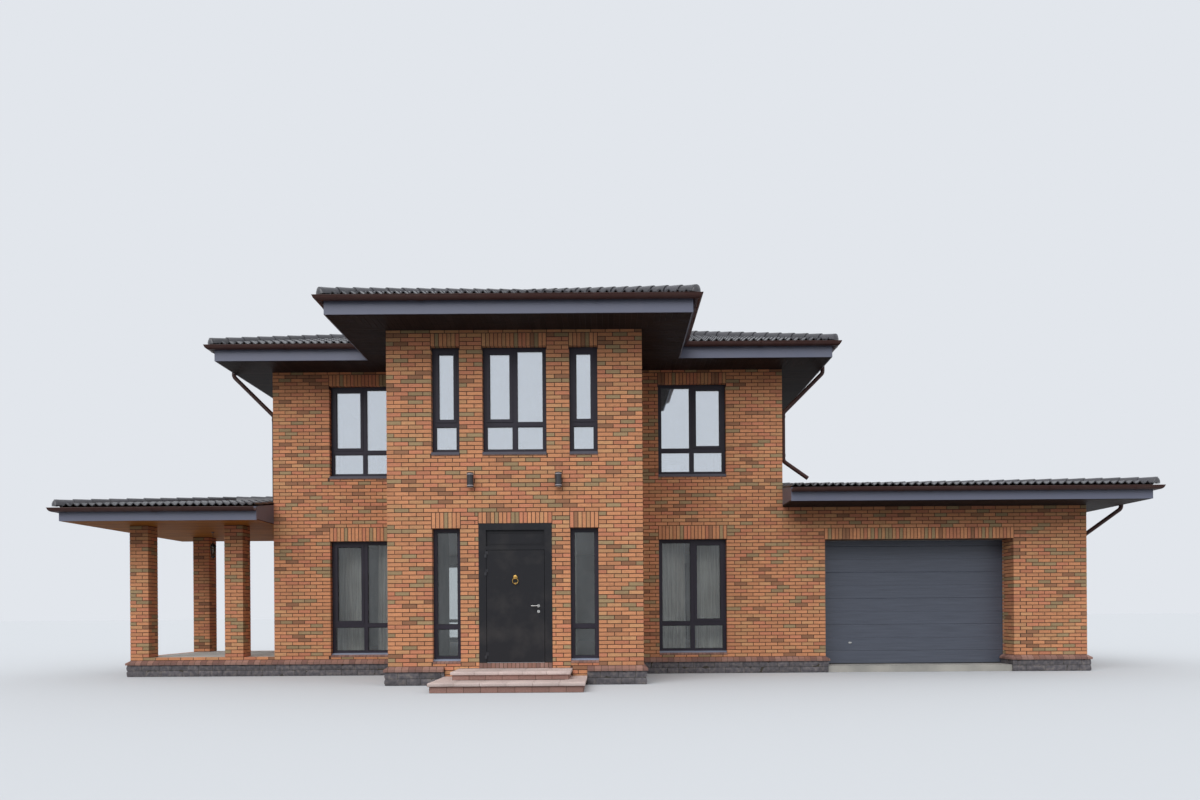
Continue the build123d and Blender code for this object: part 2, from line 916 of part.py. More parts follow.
def door_roses():
    """Round plates behind the levers and round the keyholes, on both faces of the leaf."""
    bore = Cylinder(spindle_radius + spindle_clearance, 2 * rose_thickness)
    disc = Cylinder(rose_radius, rose_thickness)
    roses = []
    for y in (-rose_thickness / 2, leaf_thickness + rose_thickness / 2):
        at_lever = Pos(handle_from_centre, leaf_front + y, handle_level)
        at_key = Pos(handle_from_centre, leaf_front + y, handle_level - keyhole_drop)
        roses.append(at_lever * Rot(90, 0, 0) * (disc - bore))
        roses.append(at_key * Rot(90, 0, 0) * disc)
    return roses


def knocker_boss():
    """Round boss on the leaf with two ears that hold the pin of the ring."""
    depth = knocker_boss_depth
    dome_radius = (knocker_boss_radius**2 + knocker_dome_rise**2) / (2 * knocker_dome_rise)
    disc = Pos(0, 0, depth / 2) * Cylinder(knocker_boss_radius, depth)
    dome = Pos(0, 0, depth + knocker_dome_rise - dome_radius) * Sphere(dome_radius)
    dome &= Pos(0, 0, depth) * Cylinder(
        knocker_boss_radius, dome_radius, align=(Align.CENTER, Align.CENTER, Align.MIN)
    )
    half_hub = knocker_hub_length / 2 + knocker_ear_gap
    ear = block(half_hub, half_hub + knocker_ear_thickness, -knocker_hub_radius,
                knocker_hub_radius, depth / 2, knocker_stand_off)
    ear_end = Rot(0, 90, 0) * Cylinder(knocker_hub_radius, knocker_ear_thickness)
    ear += Pos(half_hub + knocker_ear_thickness / 2, 0, knocker_stand_off) * ear_end
    pin = Pos(0, 0, knocker_stand_off) * Rot(0, 90, 0) * Cylinder(
        knocker_pin_radius, 2 * half_hub + knocker_ear_thickness
    )
    slot = block(-half_hub, half_hub, -2 * knocker_boss_radius, 2 * knocker_hub_radius, depth,
                 knocker_stand_off)
    boss = disc + (dome - slot) + ear + mirror(ear, Plane.YZ) + pin
    return Pos(0, leaf_front, knocker_level) * Rot(90, 0, 0) * boss


def knocker_ring():
    """Ring that hangs from a bored hub on the boss's pin."""
    middle = -knocker_ring_radius - knocker_ring_drop
    ring = Pos(0, 0, middle) * Rot(90, 0, 0) * Torus(knocker_ring_radius, knocker_ring_bar)
    ring += Pos(0, 0, -knocker_ring_drop / 2) * Cylinder(knocker_neck_radius, knocker_ring_drop)
    hub = Rot(0, 90, 0) * Cylinder(knocker_hub_radius, knocker_hub_length)
    bore = Rot(0, 90, 0) * Cylinder(
        knocker_pin_radius + knocker_pin_clearance, 2 * knocker_hub_length
    )
    return Pos(0, knocker_pivot_y, knocker_level) * (ring + hub - bore)


# Steps

def landing(half, reach, bottom, top):
    """A riser block and the tread slab on it, from the bay wall outwards."""
    nose = tread_nose
    riser = block(-half + nose, half - nose, bay_y - reach + nose, bay_y, bottom, top - tread_thickness)
    tread = block(-half, half, bay_y - reach, bay_y, top - tread_thickness, top)
    return riser, tread


# Garage door

def garage_door_section(number):
    """One section of the sectional door, with a pressed rib along its middle."""
    bottom = garage_floor_top + number * section_height
    top = bottom + section_height - section_gap
    face = 0
    back = section_thickness
    middle = (bottom + top) / 2
    corners = [
        (face, bottom),
        (back, bottom),
        (back, top),
        (face, top),
        (face, middle + rib_width / 2),
        (face + rib_depth, middle),
        (face, middle - rib_width / 2),
    ]
    section = Plane.YZ * make_face(Polyline(*corners, close=True))
    width = garage_opening_width + 2 * section_side_lap
    place = Pos(opening_left - section_side_lap, reveal_end + door_track_depth, 0)
    return place * extrude(section, amount=width)


def garage_door_frame():
    """Steel frame fixed to the back of the wall, at both sides and over the opening."""
    y0 = reveal_end
    y1 = reveal_end + door_track_depth
    top = garage_opening_head + door_track_width
    outer = door_track_width
    left = block(opening_left - outer, opening_left, y0, y1, garage_floor_top, top)
    right = block(opening_right, opening_right + outer, y0, y1, garage_floor_top, top)
    head = block(opening_left, opening_right, y0, y1, garage_opening_head, top)
    return left + right + head


def garage_door_handle():
    """Small pull on the lowest sections."""
    x = opening_left + garage_handle_left
    y = reveal_end + door_track_depth
    half = garage_handle_width / 2
    rise = garage_handle_height / 2
    level = garage_handle_level
    return block(x - half, x + half, y - garage_handle_depth, y, level - rise, level + rise)


# Lamps on the bay wall

def wall_lamp(side):
    """Round lamp on a short wall bracket."""
    y = bay_y - lamp_stand_off - lamp_radius
    tube = Pos(0, y, 0) * Cylinder(lamp_radius, lamp_height)
    bracket = block(-lamp_radius / 2, lamp_radius / 2, y, bay_y, -lamp_radius, lamp_radius)
    return Pos(side * lamp_offset, 0, lamp_level) * (tube + bracket)


# Downpipes

def pipe(points):
    """A hollow round pipe along straight runs with round bends."""
    path = FilletPolyline(*points, radius=pipe_bend_radius)
    ring = Circle(pipe_radius) - Circle(pipe_radius - pipe_wall)
    return sweep(Plane(origin=path @ 0, z_dir=path % 0) * ring, path=path)


def main_downpipe(side):
    """Pipe from the side gutter to the wall and down to the low roof."""
    gutter_x = half_width + main_overhang + gutter_gap + gutter_radius
    rim = main_eaves + main_fascia_height - gutter_rim_drop
    outlet = rim - gutter_radius - gutter_gap
    wall_x = half_width + pipe_radius + pipe_stand_off
    y = front_y + main_pipe_back
    points = [
        (side * gutter_x, y, outlet),
        (side * gutter_x, y, outlet - pipe_first_drop),
        (side * wall_x, y, outlet - pipe_swan_drop),
        (side * wall_x, y, garage_eaves + pipe_turn_height),
        (side * (wall_x + pipe_foot_reach), y, garage_eaves + pipe_foot_height),
    ]
    return pipe(points)


def garage_downpipe():
    """Pipe from the garage gutter to the wall and down to the ground."""
    gutter_x = garage_right + garage_overhang + gutter_gap + gutter_radius
    rim = garage_eaves + low_fascia_height - low_gutter_rim_drop
    outlet = rim - gutter_radius - gutter_gap
    wall_x = garage_right + pipe_radius + pipe_stand_off
    y = front_y + garage_pipe_back
    points = [
        (gutter_x, y, outlet),
        (gutter_x, y, outlet - pipe_first_drop),
        (wall_x, y, outlet - garage_pipe_swan_drop),
        (wall_x, y, wall_foot + pipe_end_height),
    ]
    return pipe(points)


# Putting the nodes together

def shapes_in(item):
    """All solids in a shape or a nested list of shapes."""
    if isinstance(item, (list, tuple)):
        return [solid for part in item for solid in shapes_in(part)]
    return list(item.solids())


def walls():
    upper = upper_only(bay_windows)
    top = garage_wall_top
    back = front_y + wall
    return {
        "wing_walls": [
            wall_plate(front_face, -half_width, -half_bay, 0, main_wall_top, left_wing_windows),
            wall_plate(front_face, half_bay, half_width, 0, main_wall_top, right_wing_windows),
        ],
        "bay_side_walls": bay_side_walls(),
        "bay_ground_walls": [bay_ground_wall(-1), bay_ground_wall(1)],
        "bay_upper_wall": wall_plate(
            bay_face, -half_bay, half_bay, door_opening_head, main_wall_top, upper
        ),
        "side_walls": [
            wall_plate(left_face, back, -back, 0, main_wall_top, left_windows),
            wall_plate(right_face, back, -back, 0, main_wall_top, right_windows),
        ],
        "rear_wall": wall_plate(
            rear_face, -half_width, half_width, 0, main_wall_top, rear_windows
        ),
        "garage_piers": [
            block(half_width, opening_left, front_y, back, 0, top),
            block(opening_right, garage_right, front_y, back, 0, top),
        ],
        "garage_lintel_wall": block(
            opening_left, opening_right, front_y, back, garage_opening_head, top
        ),
        "garage_side_wall": block(
            garage_right - wall, garage_right, back, garage_rear - wall, 0, top
        ),
        "garage_rear_wall": block(
            half_width, garage_right, garage_rear - wall, garage_rear, 0, top
        ),
        "door_threshold": threshold(),
        "porch_base": porch_base(),
        "porch_pillars": porch_pillars(),
    }


def floors():
    ground = inside_slab(0, floor_level)
    upper = inside_slab(upper_slab_bottom, upper_slab_bottom + slab_thickness)
    ceiling = inside_slab(main_eaves, main_eaves + ceiling_thickness)
    garage = block(
        half_width, garage_right - wall, front_y + wall, garage_rear - wall, 0, garage_floor_top
    )
    apron = block(
        opening_left + plinth_proud,
        opening_right - plinth_proud,
        front_y,
        front_y + wall,
        0,
        garage_floor_top,
    )
    return {
        "ground_floor": ground[0] + ground[1],
        "upper_floor": upper[0] + upper[1],
        "upper_ceiling": ceiling[0] + ceiling[1],
        "garage_floor": garage + apron,
        "porch_floor": porch_floor(),
    }


def windows():
    nodes = {
        "upper_window_glass": [],
        "lower_window_glass": [],
        "window_sashes": [],
        "window_sills": [],
    }
    for group, walls_of_group in window_groups.items():
        pairs = [(face, w) for face, group_windows in walls_of_group for w in group_windows]
        nodes[group + "_window_frames"] = [window_frame(face, w) for face, w in pairs]
        for face, w in pairs:
            storey = "upper" if w.sill == upper_sill else "lower"
            nodes[storey + "_window_glass"] += window_panes(face, w)
        nodes["window_sills"] += [window_sill(face, w) for face, w in pairs]
        opening = [(face, w) for face, w in pairs if w.opening_light is not None]
        nodes["window_sashes"] += [window_sash(face, w) for face, w in opening]
    return nodes


def main_roof():
    bottom = tile_levels(main_eaves, main_fascia_height, main_slope)[0]
    deck = deck_level(main_eaves, main_fascia_height, main_slope)
    reach = main_overhang + tile_lip
    deck_reach = main_overhang - fascia_thickness
    return {
        "main_roof_deck": [
            main_roof_layer(deck_reach, deck, deck_thickness),
            bay_roof_layer(deck_reach, deck, deck_thickness),
        ],
        "main_roof_tiles": main_roof_layer(reach, bottom, tile_thickness),
        "bay_roof_tiles": bay_roof_layer(reach, bottom, tile_thickness),
        "ridge_caps": [main_roof_caps(), bay_roof_caps()],
        "fascias": [main_fascia()],
        "gutters": [main_gutter()],
        "soffits": [main_soffit(), garage_soffit()],
    }


def low_roof(name, side, eaves, slope, overhang, outer, rear):
    """Deck, tiles, caps, fascia and gutter of one low side roof."""
    inner = side * half_width
    bottom, top = tile_levels(eaves, low_fascia_height, slope)
    deck = deck_level(eaves, low_fascia_height, slope)
    lip = overhang + tile_lip
    back = overhang - fascia_thickness
    tiles = (side, inner, outer + side * lip, front_y - lip, rear + lip)
    boards = (
        side, inner + side * fascia_thickness, outer + side * back, front_y - back, rear + back
    )
    path = low_eaves_path(
        side, inner, outer + side * overhang, front_y - overhang, rear + overhang
    )
    return {
        name + "_roof_deck": low_roof_layer(*boards, deck, slope, deck_thickness),
        name + "_roof_tiles": low_roof_layer(*tiles, bottom, slope, tile_thickness),
        "ridge_caps": low_roof_caps(*tiles, top, slope),
        "fascias": low_fascia(eaves, slope, path, side),
        "gutters": [low_gutter(eaves, path)],
    }


def roofs():
    nodes = main_roof()
    garage = low_roof(
        "garage", 1, garage_eaves, garage_slope, garage_overhang, garage_right, garage_rear
    )
    porch = low_roof(
        "porch", -1, porch_eaves, porch_slope, porch_overhang, porch_left, porch_rear
    )
    for part in (garage, porch):
        for name, shapes in part.items():
            nodes[name] = nodes.get(name, []) + shapes
    nodes["porch_ceiling"] = porch_ceiling()
    nodes["porch_beams"] = porch_beams()
    return nodes


def entrance():
    step = landing(step_half_width, step_reach, 0, step_top)
    top_step = landing(landing_half_width, landing_reach, step_top, landing_top)
    return {
        "step_risers": [step[0], top_step[0]],
        "step_treads": [step[1], top_step[1]],
        "door_frame": door_frame(),
        "door_transom_panel": door_transom_panel(),
        "door_hinge_posts": frame_hinges(),
        "door_leaf": door_leaf(),
        "door_leaf_hinges": leaf_hinges(),
        "door_roses": door_roses(),
        "door_lever": door_lever(),
        "knocker_boss": knocker_boss(),
        "knocker_ring": knocker_ring(),
        "wall_lamps": [wall_lamp(-1), wall_lamp(1)],
    }


def fittings():
    return {
        "stone_plinth": plinth(),
        "sill_course": sill_course(),
        "garage_door": [garage_door_section(number) for number in range(section_count)],
        "garage_door_frame": garage_door_frame(),
        "garage_door_handle": garage_door_handle(),
        "downpipes": [main_downpipe(-1), main_downpipe(1), garage_downpipe()],
        "porch_lantern": porch_lantern(),
    }


def main():
    os.makedirs("parts", exist_ok=True)
    for group in (walls, floors, windows, roofs, entrance, fittings):
        for name, shape in group().items():
            solids = shapes_in(shape)
            whole = solids[0] if len(solids) == 1 else Compound(children=solids)
            export_step(whole, f"parts/{name}.step")


main()
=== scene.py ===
import math
import random
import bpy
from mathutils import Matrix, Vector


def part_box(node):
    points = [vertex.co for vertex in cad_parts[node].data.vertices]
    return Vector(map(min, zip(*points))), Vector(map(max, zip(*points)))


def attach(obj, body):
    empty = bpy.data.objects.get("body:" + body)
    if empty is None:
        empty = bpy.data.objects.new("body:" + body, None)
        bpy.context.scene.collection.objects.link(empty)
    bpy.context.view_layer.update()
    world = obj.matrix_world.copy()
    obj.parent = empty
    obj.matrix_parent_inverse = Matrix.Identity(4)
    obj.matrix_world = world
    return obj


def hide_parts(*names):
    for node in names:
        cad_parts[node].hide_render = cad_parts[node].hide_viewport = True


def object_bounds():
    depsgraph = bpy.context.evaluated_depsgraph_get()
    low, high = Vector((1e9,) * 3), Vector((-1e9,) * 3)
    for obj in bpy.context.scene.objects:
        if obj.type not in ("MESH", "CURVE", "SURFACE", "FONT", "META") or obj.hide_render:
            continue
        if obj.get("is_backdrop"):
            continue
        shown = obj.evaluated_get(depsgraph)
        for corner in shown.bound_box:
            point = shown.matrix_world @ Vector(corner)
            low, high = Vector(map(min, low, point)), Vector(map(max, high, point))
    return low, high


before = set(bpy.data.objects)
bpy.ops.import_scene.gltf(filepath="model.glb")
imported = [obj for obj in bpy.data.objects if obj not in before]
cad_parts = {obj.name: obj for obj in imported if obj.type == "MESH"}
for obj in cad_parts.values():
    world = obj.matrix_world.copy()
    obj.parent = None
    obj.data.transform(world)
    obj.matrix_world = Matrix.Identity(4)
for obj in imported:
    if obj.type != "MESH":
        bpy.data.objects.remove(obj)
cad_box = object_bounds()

from types import SimpleNamespace

import bmesh
import bpy
import numpy as np
from bpy.props import FloatProperty, FloatVectorProperty, PointerProperty
from mathutils import Matrix, Vector, noise

bl_info = {
    "name": "Detached brick house",
    "version": (1, 0, 0),
    "blender": (4, 5, 0),
    "location": "3D View > Sidebar > House",
    "description": "Dresses the packed model of a brick house with bricks, tiles and finishes",
    "category": "Object",
}

UP = Vector((0, 0, 1))


# Small helpers for colours, nodes and properties

def linear(code):
    """An sRGB hex colour as linear red, green, blue and alpha."""
    channels = [int(code[i:i + 2], 16) / 255 for i in (0, 2, 4)]
    return [c / 12.92 if c <= 0.04045 else ((c + 0.055) / 1.055) ** 2.4 for c in channels] + [1.0]


def length(name, description, default):
    """A length in metres as a property."""
    return FloatProperty(name=name, description=description, default=default, min=0,
                         unit="LENGTH", subtype="DISTANCE")


def colour(name, description, code):
    """A colour as a property, given as sRGB hex."""
    return FloatVectorProperty(name=name, description=description, default=linear(code), size=4,
                               min=0, max=1, subtype="COLOR")


def add(tree, kind, inputs=None, stops=None, **settings):
    """A shader node with its settings, and each input set to a value or joined to an output."""
    node = tree.nodes.new("ShaderNode" + kind)
    for name, value in settings.items():
        setattr(node, name, value)
    for name, value in (inputs or {}).items():
        if isinstance(value, bpy.types.NodeSocket):
            tree.links.new(value, node.inputs[name])
        else:
            node.inputs[name].default_value = value
    if stops:
        ramp = node.color_ramp
        while len(ramp.elements) < len(stops):
            ramp.elements.new(1.0)
        for element, (place, shade) in zip(ramp.elements, stops):
            element.position = place
            element.color = shade
    return node


# Properties

class HouseBricks(bpy.types.PropertyGroup):
    """Sizes and colours of the brickwork."""

    length: length("Brick length", "Length of one facing brick", 0.25)
    height: length("Brick height", "Height of one facing brick", 0.065)
    width: length("Brick width", "Depth of one facing brick into the wall", 0.12)
    joint: length("Joint", "Width of a mortar joint", 0.010)
    relief: length("Relief", "How far a brick stands out of its mortar", 0.005)
    soldier: length("Soldier course", "Height of the upright bricks over an opening", 0.25)
    tan: colour("Tan brick", "The commonest, orange tan brick", "D08F66")
    salmon: colour("Salmon brick", "Redder brick from the cooler part of the kiln", "CB8463")
    ochre: colour("Ochre brick", "Yellower brick", "CB956A")
    olive: colour("Olive brick", "Grey green brick flashed in the kiln", "A38A66")
    umber: colour("Umber brick", "Dark brown brick", "9B6D50")
    mortar: colour("Mortar", "Brown pointing mortar", "4E382C")


class HouseRoof(bpy.types.PropertyGroup):
    """Sizes and colours of the roofs and eaves."""

    wave: length("Wave", "Width of one roll and pan of a tile", 0.150)
    roll: length("Roll height", "Height of a roll over its pan", 0.054)
    gauge: length("Gauge", "Length of a tile that shows below the next course", 0.335)
    lap: length("Lap", "Length of a tile under the next course", 0.045)
    thickness: length("Tile thickness", "Thickness of a tile", 0.016)
    bed: length("Tile space", "Upright height that the tiles take on a slope", 0.062)
    cap_gauge: length("Cap gauge", "Length of a ridge cap that shows", 0.334)
    cap_width: length("Cap width", "Width of a ridge cap", 0.24)
    cap_rise: length("Cap rise", "Height of a ridge cap over the tiles", 0.10)
    cap_sink: length("Cap sink", "How far a cap's edges come down beside the ridge", 0.03)
    valley: length("Valley", "Width of the open metal valley between two slopes", 0.14)
    lip: length("Lip", "How far the tiles reach out over the fascia", 0.05)
    gutter_radius: length("Gutter radius", "Radius of the half round gutters", 0.075)
    board: length("Soffit board", "Width of one soffit board", 0.10)
    bracket: length("Bracket spacing", "Distance between two gutter brackets", 0.58)
    tile: colour("Roof tile", "Glazed anthracite tile", "3B3A40")
    fascia: colour("Fascia", "Coated grey steel fascia", "686C80")
    gutter: colour("Gutter", "Chocolate brown coated gutter", "3E211C")
    soffit: colour("Soffit", "Dark stained soffit board", "3A2F2C")
    soffit_grain: colour("Soffit grain", "Darker grain of the soffit boards", "231C1B")
    ceiling: colour("Porch ceiling", "Honey coloured board over the porch", "BC7C36")
    ceiling_grain: colour("Ceiling grain", "Darker grain of the porch boards", "8F5722")


class HouseDetails(bpy.types.PropertyGroup):
    """Sizes of windows and doors."""

    reveal: length("Reveal", "How far the window frames stand back in the walls", 0.125)
    crossbar: length("Crossbar", "Height of the bar over the door leaf", 0.066)
    gasket: length("Gasket", "Width of the rubber round a pane", 0.014)


class HouseStage(bpy.types.PropertyGroup):
    """Camera and background."""

    eye_x: length("Camera across", "Place of the camera to the right of the house's middle", 1.627)
    eye_y: length("Camera distance", "Distance of the camera in front of the house's middle", 23.15)
    eye_z: length("Camera height", "Height of the camera over the ground", 1.30)
    roll: FloatProperty(name="Camera roll", description="Small turn about the camera's own axis",
                        default=0.0067, subtype="ANGLE")
    floor: colour("Floor", "Pale floor", "C6C9CD")
    sky: colour("Background", "Pale background", "E2E6EC")


GROUPS = {
    "house_bricks": HouseBricks, "house_roof": HouseRoof, "house_details": HouseDetails,
    "house_stage": HouseStage,
}


def bricks():
    """The settings of the brickwork."""
    return bpy.context.scene.house_bricks


def roof():
    """The settings of the roofs and eaves."""
    return bpy.context.scene.house_roof


def details():
    """The settings of the windows and doors."""
    return bpy.context.scene.house_details


# Meshes

def set_tones(mesh, tones, per):
    """Give each run of so many vertices a tone of its own."""
    layer = mesh.attributes.new("tone", "FLOAT", "POINT")
    layer.data.foreach_set("value", np.repeat(np.asarray(tones, np.float32), per))


def joined(name, unit, frames, sizes=None, tones=None):
    """One mesh of many copies of a small bmesh. Each copy has a 4x4 frame, and may have its own
    size, to which it is stretched from its middle with its arrises kept, and its own tone."""
    unit.verts.ensure_lookup_table()
    corners = np.array([v.co for v in unit.verts])
    frames = np.asarray(frames, float)
    count, per = len(frames), len(corners)
    local = np.repeat(corners[None], count, axis=0)
    if sizes is not None:
        extent = corners.max(0) - corners.min(0)
        local += np.sign(corners)[None] * (np.asarray(sizes)[:, None, :] - extent) / 2
    placed = np.einsum("nij,nkj->nki", frames[:, :3, :3], local) + frames[:, None, :3, 3]
    loops = np.array([v.index for f in unit.faces for v in f.verts])
    totals = np.array([len(f.verts) for f in unit.faces])
    all_loops = (loops[None] + per * np.arange(count)[:, None]).ravel()
    all_totals = np.tile(totals, count)
    mesh = bpy.data.meshes.new(name)
    mesh.vertices.add(count * per)
    mesh.vertices.foreach_set("co", placed.astype(np.float32).ravel())
    mesh.loops.add(len(all_loops))
    mesh.loops.foreach_set("vertex_index", all_loops.astype(np.int32))
    mesh.polygons.add(len(all_totals))
    starts = np.concatenate(([0], np.cumsum(all_totals)[:-1]))
    mesh.polygons.foreach_set("loop_start", starts.astype(np.int32))
    mesh.update(calc_edges=True)
    mesh.shade_flat()
    if tones is not None:
        set_tones(mesh, tones, per)
    unit.free()
    return mesh


def brick_unit(chamfer=0.002):
    """A brick of the usual size whose outer face is a little smaller than its back."""
    b = bricks()
    bm = bmesh.new()
    bmesh.ops.create_cube(bm, size=1)
    bmesh.ops.scale(bm, vec=(b.length, b.height, b.width), verts=bm.verts)
    for v in bm.verts:
        if v.co.z > 0:
            v.co.x -= math.copysign(chamfer, v.co.x)
            v.co.y -= math.copysign(chamfer, v.co.y)
    bm.verts.index_update()
    return bm


def loosened(mesh):
    """A bmesh of a mesh, which is used up."""
    bm = bmesh.new()
    bm.from_mesh(mesh)
    bpy.data.meshes.remove(mesh)
    return bm


def gathered(name, parts):
    """One mesh of some bmeshes, which are used up."""
    whole = bmesh.new()
    for part in parts:
        mesh = bpy.data.meshes.new(name)
        part.to_mesh(mesh)
        part.free()
        whole.from_mesh(mesh)
        bpy.data.meshes.remove(mesh)
    mesh = bpy.data.meshes.new(name)
    whole.to_mesh(mesh)
    whole.free()
    return mesh


def thickened(bm, thickness):
    """A flat bmesh given a thickness."""
    bm.normal_update()
    bmesh.ops.solidify(bm, geom=bm.faces[:], thickness=thickness)
    bmesh.ops.recalc_face_normals(bm, faces=bm.faces)
    bm.verts.index_update()
    return bm


def grid(columns, rows):
    """A bmesh grid one metre square."""
    bm = bmesh.new()
    bmesh.ops.create_grid(bm, x_segments=columns, y_segments=rows, size=0.5)
    return bm


def rod(bm, radius, depth, place, segments):
    """Add a round rod to a bmesh, made along z and then put in place."""
    bmesh.ops.create_cone(bm, cap_ends=True, segments=segments, radius1=radius, radius2=radius,
                          depth=depth, matrix=place)


def block(bm, size, place):
    """Add a box to a bmesh, made about the origin and then put in place."""
    return bmesh.ops.create_cube(bm, size=1, matrix=place @ Matrix.Diagonal((*size, 1)))["verts"]


def at(x, y, z):
    """A move to a place."""
    return Matrix.Translation((x, y, z))


def moved(bm, place):
    """A bmesh put in place."""
    bmesh.ops.transform(bm, matrix=place, verts=bm.verts)
    return bm


def make_piece(name, shape, material, body="root", replaces=(), sharp=None):
    """A finished object for a mesh or a list of bmeshes, with its material, its body and what it
    stands for. With an angle given in degrees, it is shaded smooth up to that angle."""
    mesh = gathered(name, shape) if isinstance(shape, list) else shape
    if sharp:
        mesh.shade_smooth()
        mesh.set_sharp_from_angle(angle=math.radians(sharp))
    piece = bpy.data.objects.new(name, mesh)
    bpy.context.scene.collection.objects.link(piece)
    mesh.materials.append(material)
    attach(piece, body)
    if replaces:
        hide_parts(*replaces)
    return piece


def merged(node):
    """A merged copy of a CAD node's mesh."""
    bm = bmesh.new()
    bm.from_mesh(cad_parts[node].data)
    bmesh.ops.remove_doubles(bm, verts=bm.verts, dist=1e-5)
    bm.verts.ensure_lookup_table()
    return bm


def solids_of(node):
    """The box of each separate solid of a CAD node."""
    bm = merged(node)
    seen = set()
    boxes = []
    for first in bm.verts:
        if first.index in seen:
            continue
        seen.add(first.index)
        found = [first]
        for v in found:
            for edge in v.link_edges:
                other = edge.other_vert(v)
                if other.index not in seen:
                    seen.add(other.index)
                    found.append(other)
        places = np.array([v.co for v in found])
        boxes.append((Vector(places.min(0)), Vector(places.max(0))))
    bm.free()
    return boxes


class Face:
    """An outer wall face: u runs to the right seen from outside, v up and w outwards."""

    def __init__(self, x, y, turn):
        spin = Matrix.Rotation(math.radians(turn), 4, "Z")
        self.along = spin @ Vector((1, 0, 0))
        self.outward = spin @ Vector((0, -1, 0))
        self.origin = Vector((x, y, 0))
        self.matrix = Matrix.Translation(self.origin) @ Matrix((
            (self.along.x, 0, self.outward.x, 0),
            (self.along.y, 0, self.outward.y, 0),
            (0, 1, 0, 0),
            (0, 0, 0, 1),
        ))

    def frame(self, u, v, w):
        """The frame of something centred at u, v, w on this face."""
        return self.matrix @ at(u, v, w)

    def across(self, point):
        """u of a point."""
        return (Vector(point) - self.origin).dot(self.along)

    def depth(self, point):
        """w of a point."""
        return (Vector(point) - self.origin).dot(self.outward)


def face_between(p, q):
    """The face whose outside lies to the left of the way from p to q, with u counted from q."""
    return Face(q[0], q[1], math.degrees(math.atan2(p[1] - q[1], p[0] - q[0])))


def prism(corners, depth):
    """A bmesh prism: an outline of x and y corners, given thickness along z about its middle."""
    bm = bmesh.new()
    face = bm.faces.new([bm.verts.new((x, y, -depth / 2)) for x, y in corners])
    grown = bmesh.ops.extrude_face_region(bm, geom=[face])["geom"]
    raised = [v for v in grown if isinstance(v, bmesh.types.BMVert)]
    bmesh.ops.translate(bm, vec=(0, 0, depth), verts=raised)
    bmesh.ops.recalc_face_normals(bm, faces=bm.faces)
    bm.verts.index_update()
    return bm


def cut(bm, place, normal):
    """Cut a bmesh of closed pieces, keep the side that the normal points to, and close it."""
    everything = bm.verts[:] + bm.edges[:] + bm.faces[:]
    bmesh.ops.bisect_plane(bm, geom=everything, plane_co=place, plane_no=normal, clear_inner=True)
    bmesh.ops.holes_fill(bm, edges=[e for e in bm.edges if e.is_boundary], sides=0)


def mitred(name, path, fill, reach):
    """One mesh of the pieces along a path, cut at the mitre of each corner. Outside lies to the
    left of the way the path runs. fill(face, start, end) gives the mesh of one straight run."""
    runs = []
    points = [Vector((x, y, 0)) for x, y in path]
    closed = points[0] == points[-1]
    ways = [(q - p).normalized() for p, q in zip(points, points[1:])]
    for i, way in enumerate(ways):
        p, q = points[i], points[i + 1]
        before = ways[i - 1] if i or closed else None
        after = ways[(i + 1) % len(ways)] if i + 1 < len(ways) or closed else None
        start = -reach if after else 0
        end = (q - p).length + (reach if before else 0)
        run = loosened(fill(face_between(p, q), start, end))
        if before:
            cut(run, p, way + before)
        if after:
            cut(run, q, -way - after)
        runs.append(run)
    return gathered(name, runs)


def house_lines():
    """Lines and levels of the house, read from the packed nodes."""
    wing, bay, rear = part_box("wing_walls"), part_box("bay_ground_walls"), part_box("rear_wall")
    side, back, lintel = (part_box("garage_" + n) for n in ("side_wall", "rear_wall", "lintel_wall"))
    porch, course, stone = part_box("porch_base"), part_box("sill_course"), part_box("stone_plinth")
    door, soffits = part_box("door_frame"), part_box("soffits")
    low_step, landing = sorted(solids_of("step_treads"), key=lambda box: box[1].z)
    tiles = [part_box(n + "_roof_tiles") for n in ("main", "garage", "porch")]
    lip = roof().lip
    return SimpleNamespace(
        half=wing[1].x, front=wing[0].y, rear=rear[1].y, bay_half=bay[1].x, bay_front=bay[0].y,
        wall=wing[1].y - wing[0].y, garage_right=side[1].x, garage_rear=back[1].y,
        opening_left=lintel[0].x, opening_right=lintel[1].x, opening_head=lintel[0].z,
        porch_left=porch[0].x, porch_rear=porch[1].y, porch_floor=porch[1].z,
        foot=course[1].z, stone_top=stone[1].z, door_half=door[1].x, door_head=door[1].z,
        door_foot=door[0].z, steps_half=low_step[1].x, low_step=low_step[1].z,
        landing=landing[1].z, landing_half=landing[1].x,
        main_eaves=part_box("upper_ceiling")[0].z, garage_eaves=soffits[0].z,
        porch_eaves=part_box("porch_ceiling")[0].z, main_reach=tiles[0][1].x - wing[1].x - lip,
        garage_reach=tiles[1][1].x - side[1].x - lip, porch_reach=porch[0].x - tiles[2][0].x - lip,
    )


# Brickwork

# Length of the shortest piece of brick that is laid, with its joint, and height of the lowest
SHORTEST = 0.05
LOWEST = 0.02

# Gap left under the soffits, and how far a hole's sides lie inside the frame that fills it
EAVES_GAP = 0.006
TUCK = 0.002

# A frame belongs to a face when it is wider than this and less deep behind the face than this
FRAME_LIMIT = 0.3


